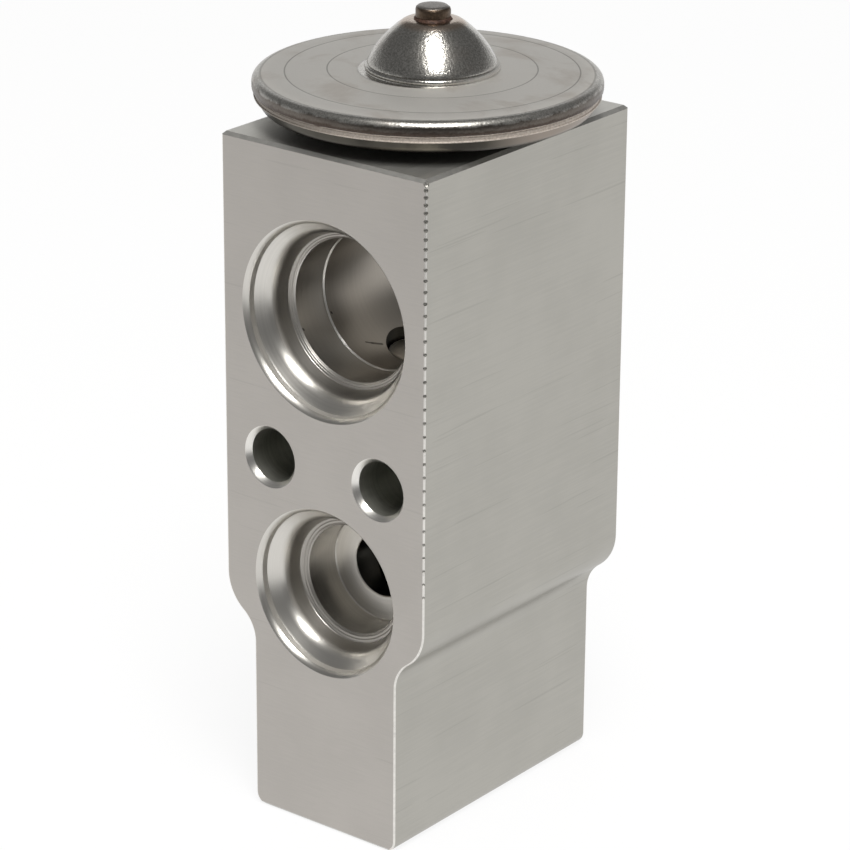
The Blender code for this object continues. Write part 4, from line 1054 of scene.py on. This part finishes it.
def plug_steel():
    """Dark sides and a lighter top."""
    m = Nodes("plug_steel_dark")
    grain = m.noise(m.place, scale=2600.0, detail=4.0, roughness=0.65)
    side = m.mix(grain, (0.07, 0.05, 0.036), (0.17, 0.125, 0.09))
    top = m.mix(grain, (0.19, 0.18, 0.165), (0.36, 0.335, 0.31))
    on_top = m.ramp(m.split()[2], FLANGE_LEVEL + 8.55 * MM, FLANGE_LEVEL + 8.69 * MM)
    return m.finish(m.mix(on_top, side, top), 0.4, normal=m.bump(grain, 0.05 * MM, 0.9))


def rust():
    m = Nodes("rust_ring")
    grain = m.noise(m.place, scale=3200.0, detail=4.0, roughness=0.7)
    colour = m.mix(m.ramp(grain, 0.35, 0.65), (0.03, 0.013, 0.008), (0.085, 0.042, 0.026))
    return m.finish(colour, 0.6, metallic=0.35, normal=m.bump(grain, 0.03 * MM, 0.8))


def rubber():
    m = Nodes("seal_rubber")
    grain = m.noise(m.place, scale=2400.0, detail=3.0)
    colour = m.mix(grain, (0.012, 0.022, 0.016), (0.025, 0.045, 0.032))
    return m.finish(colour, m.math("MULTIPLY_ADD", grain, 0.2, 0.42), metallic=0.0,
                    normal=m.bump(grain, 0.01 * MM, 0.4))


def port_marks(name):
    """The marks on one part of a port, brought from the passage's middle to the frame."""
    middle = Vector((0.0, 0.0, PASSAGE_LEVEL))
    return [(middle + Vector(first) * MM, middle + Vector(last) * MM, half_width * MM)
            for first, last, half_width in MARKS.get(name, ())]


def port_surfaces():
    made = {}
    for port, level in (("suction", PASSAGE_LEVEL), ("inlet", INLET_LEVEL), ("outlet", OUTLET_LEVEL)):
        for part, (colour, contrast, rough, pitch, depth) in PORT_METAL.items():
            name = port + "_" + part
            if name == "suction_hole":
                colour = PASSAGE_COLOUR
            made[name] = turned_metal(name, colour, contrast, rough, (0.0, level), pitch, depth,
                                      port_marks(name))
    return made


def make_surfaces():
    made = {"cover": cover_steel(), "dish": dish_steel(), "raw_flange": raw_flange(), "plug": plug_steel(),
            "rust": rust(), "rubber": rubber()}
    made.update({name: brushed(name, *finish) for name, finish in BRUSHED_METAL.items()})
    made.update({name: turned_metal(name, *finish) for name, finish in TURNED_METAL.items()})
    made.update(port_surfaces())
    return made


# Light, floor and camera

def direction(azimuth, elevation):
    """Unit vector from the valve; azimuth 0 is in front of the port face and grows to the right."""
    return Vector((math.sin(azimuth) * math.cos(elevation), -math.cos(azimuth) * math.cos(elevation),
                   math.sin(elevation)))


def seen_or_mirrored(tree):
    """One for rays from the camera and for mirrored and refracted ones."""
    path = tree.nodes.new("ShaderNodeLightPath")
    result = path.outputs["Is Camera Ray"]
    for name in ("Is Glossy Ray", "Is Transmission Ray"):
        either = tree.nodes.new("ShaderNodeMath")
        either.operation = "MAXIMUM"
        tree.links.new(result, either.inputs[0])
        tree.links.new(path.outputs[name], either.inputs[1])
        result = either.outputs[0]
    return result


def make_world():
    world = bpy.data.worlds.new("studio")
    bpy.context.scene.world = world
    world.use_nodes = True
    tree = world.node_tree
    background = tree.nodes["Background"]
    shade = tree.nodes.new("ShaderNodeMapRange")
    shade.inputs["To Min"].default_value = 0.6
    shade.inputs["To Max"].default_value = 1.0
    tree.links.new(seen_or_mirrored(tree), shade.inputs["Value"])
    tree.links.new(shade.outputs[0], background.inputs["Strength"])
    background.inputs["Color"].default_value = (1.0, 1.0, 1.0, 1.0)


def make_floor():
    """A white table that keeps the shadow; metal sees it end in the dark room on the camera's side."""
    shape = bmesh.new()
    bmesh.ops.create_grid(shape, x_segments=1, y_segments=1, size=3.0)
    floor = object_from(shape, "floor")
    m = Nodes("floor_white")
    m.finish((0.85, 0.85, 0.85), 0.9, metallic=0.0)
    m.shader.inputs["Specular IOR Level"].default_value = 0.0
    glow = m.new("ShaderNodeEmission")
    path = m.new("ShaderNodeLightPath")
    table = m.ramp(along(m, direction(CAMERA_AZIMUTH, 0.0)), 0.15, 0.21, 1.0, 0.12)
    unlit = m.times(path.outputs["Is Glossy Ray"], m.math("SUBTRACT", 1.0, table))
    m.link(m.math("SUBTRACT", 1.0, unlit), glow.inputs["Strength"])
    blend = m.new("ShaderNodeMixShader")
    m.link(m.times(seen_or_mirrored(m.tree), 0.88), blend.inputs["Fac"])
    m.link(m.shader.outputs[0], blend.inputs[1])
    m.link(glow.outputs[0], blend.inputs[2])
    m.link(blend.outputs[0], m.tree.nodes["Material Output"].inputs["Surface"])
    floor.data.materials.append(m.material)


def make_hood():
    """The studio above the white table, dark overhead and behind the camera, for the metal to mirror."""
    shape = bmesh.new()
    bmesh.ops.create_uvsphere(shape, u_segments=48, v_segments=24, radius=1.0)
    bmesh.ops.bisect_plane(shape, geom=shape.verts[:] + shape.edges[:] + shape.faces[:],
                           plane_co=(0.0, 0.0, -0.04), plane_no=(0.0, 0.0, 1.0), clear_inner=True)
    hood = object_from(shape, "studio_hood", crease=60.0)
    hood.location = AIM
    hood.scale = (HOOD_RADIUS,) * 3
    m = Nodes("hood_grey")
    height = m.split()[2]
    to_camera = along(m, direction(CAMERA_AZIMUTH, 0.0))
    ceiling = m.ramp(height, -0.09, 0.42, 1.0, 0.16)
    backdrop = m.times(m.ramp(to_camera, -0.72, -0.92), m.ramp(height, 0.42, 0.6, 1.0, 0.0))
    behind_camera = m.ramp(to_camera, 0.3, 0.7, 1.0, 0.15)
    level = m.math("MINIMUM", m.math("MAXIMUM", ceiling, backdrop), behind_camera)
    glow = m.new("ShaderNodeEmission")
    m.link(level, glow.inputs["Strength"])
    m.link(glow.outputs[0], m.tree.nodes["Material Output"].inputs["Surface"])
    hood.data.materials.append(m.material)
    hood.visible_camera = False
    hood.visible_diffuse = False
    hood.visible_shadow = False


def add_softbox(name, azimuth, elevation, width, height, power, colour):
    lamp = bpy.data.lights.new(name, "AREA")
    lamp.shape = "RECTANGLE"
    lamp.size = width
    lamp.size_y = height
    lamp.energy = power
    lamp.color = colour
    obj = bpy.data.objects.new(name, lamp)
    bpy.context.scene.collection.objects.link(obj)
    away = direction(azimuth * DEGREE, elevation * DEGREE)
    obj.location = AIM + away * LAMP_DISTANCE
    obj.rotation_euler = away.to_track_quat("Z", "Y").to_euler()


def make_light():
    make_world()
    make_floor()
    make_hood()
    add_softbox("key_overhead", 47.0, 65.0, 0.21, 0.43, 5.0, (1.0, 0.99, 0.97))


def make_camera():
    away = direction(CAMERA_AZIMUTH, CAMERA_ELEVATION)
    right = Vector((math.cos(CAMERA_AZIMUTH), math.sin(CAMERA_AZIMUTH), 0.0))
    aim = right * CAMERA_AIM_RIGHT + Vector((0.0, 0.0, CAMERA_AIM_HEIGHT))
    up = away.cross(right)
    turned_right = right * math.cos(CAMERA_ROLL) + up * math.sin(CAMERA_ROLL)
    turned_up = up * math.cos(CAMERA_ROLL) - right * math.sin(CAMERA_ROLL)
    lens = bpy.data.cameras.new("camera")
    lens.sensor_width = SENSOR
    lens.lens = FOCAL_PIXELS * SENSOR / IMAGE_PIXELS
    lens.clip_start = 0.01
    camera = bpy.data.objects.new("camera", lens)
    bpy.context.scene.collection.objects.link(camera)
    rotation = Matrix((turned_right, turned_up, away)).transposed().to_4x4()
    camera.matrix_world = Matrix.Translation(aim + away * CAMERA_DISTANCE) @ rotation
    bpy.context.scene.camera = camera


make_camera()
surfaces = make_surfaces()
make_block()
make_upper_cover()
make_lower_cover()
make_rim_weld()
make_charge_plug()
make_plug_braze()
make_collar()
make_diaphragm()
make_stop_plate()
make_rod("sensing_rod_turned", "sensing_rod", "rod_aluminium", "rod", 0.35 * MM)
make_rod("push_pin_ground", "push_pin", "bright_steel", "ground", 0.12 * MM)
make_ball()
make_carrier()
make_damper()
make_retainer()
make_seat()
make_seal("element_seal", "valve_block")
make_seal("rod_seal", "valve_block")
make_seal("screw_seal", "seal_carrier")
make_spring()
make_adjusting_screw()
make_light()

bpy.context.scene.view_settings.view_transform = "Standard"
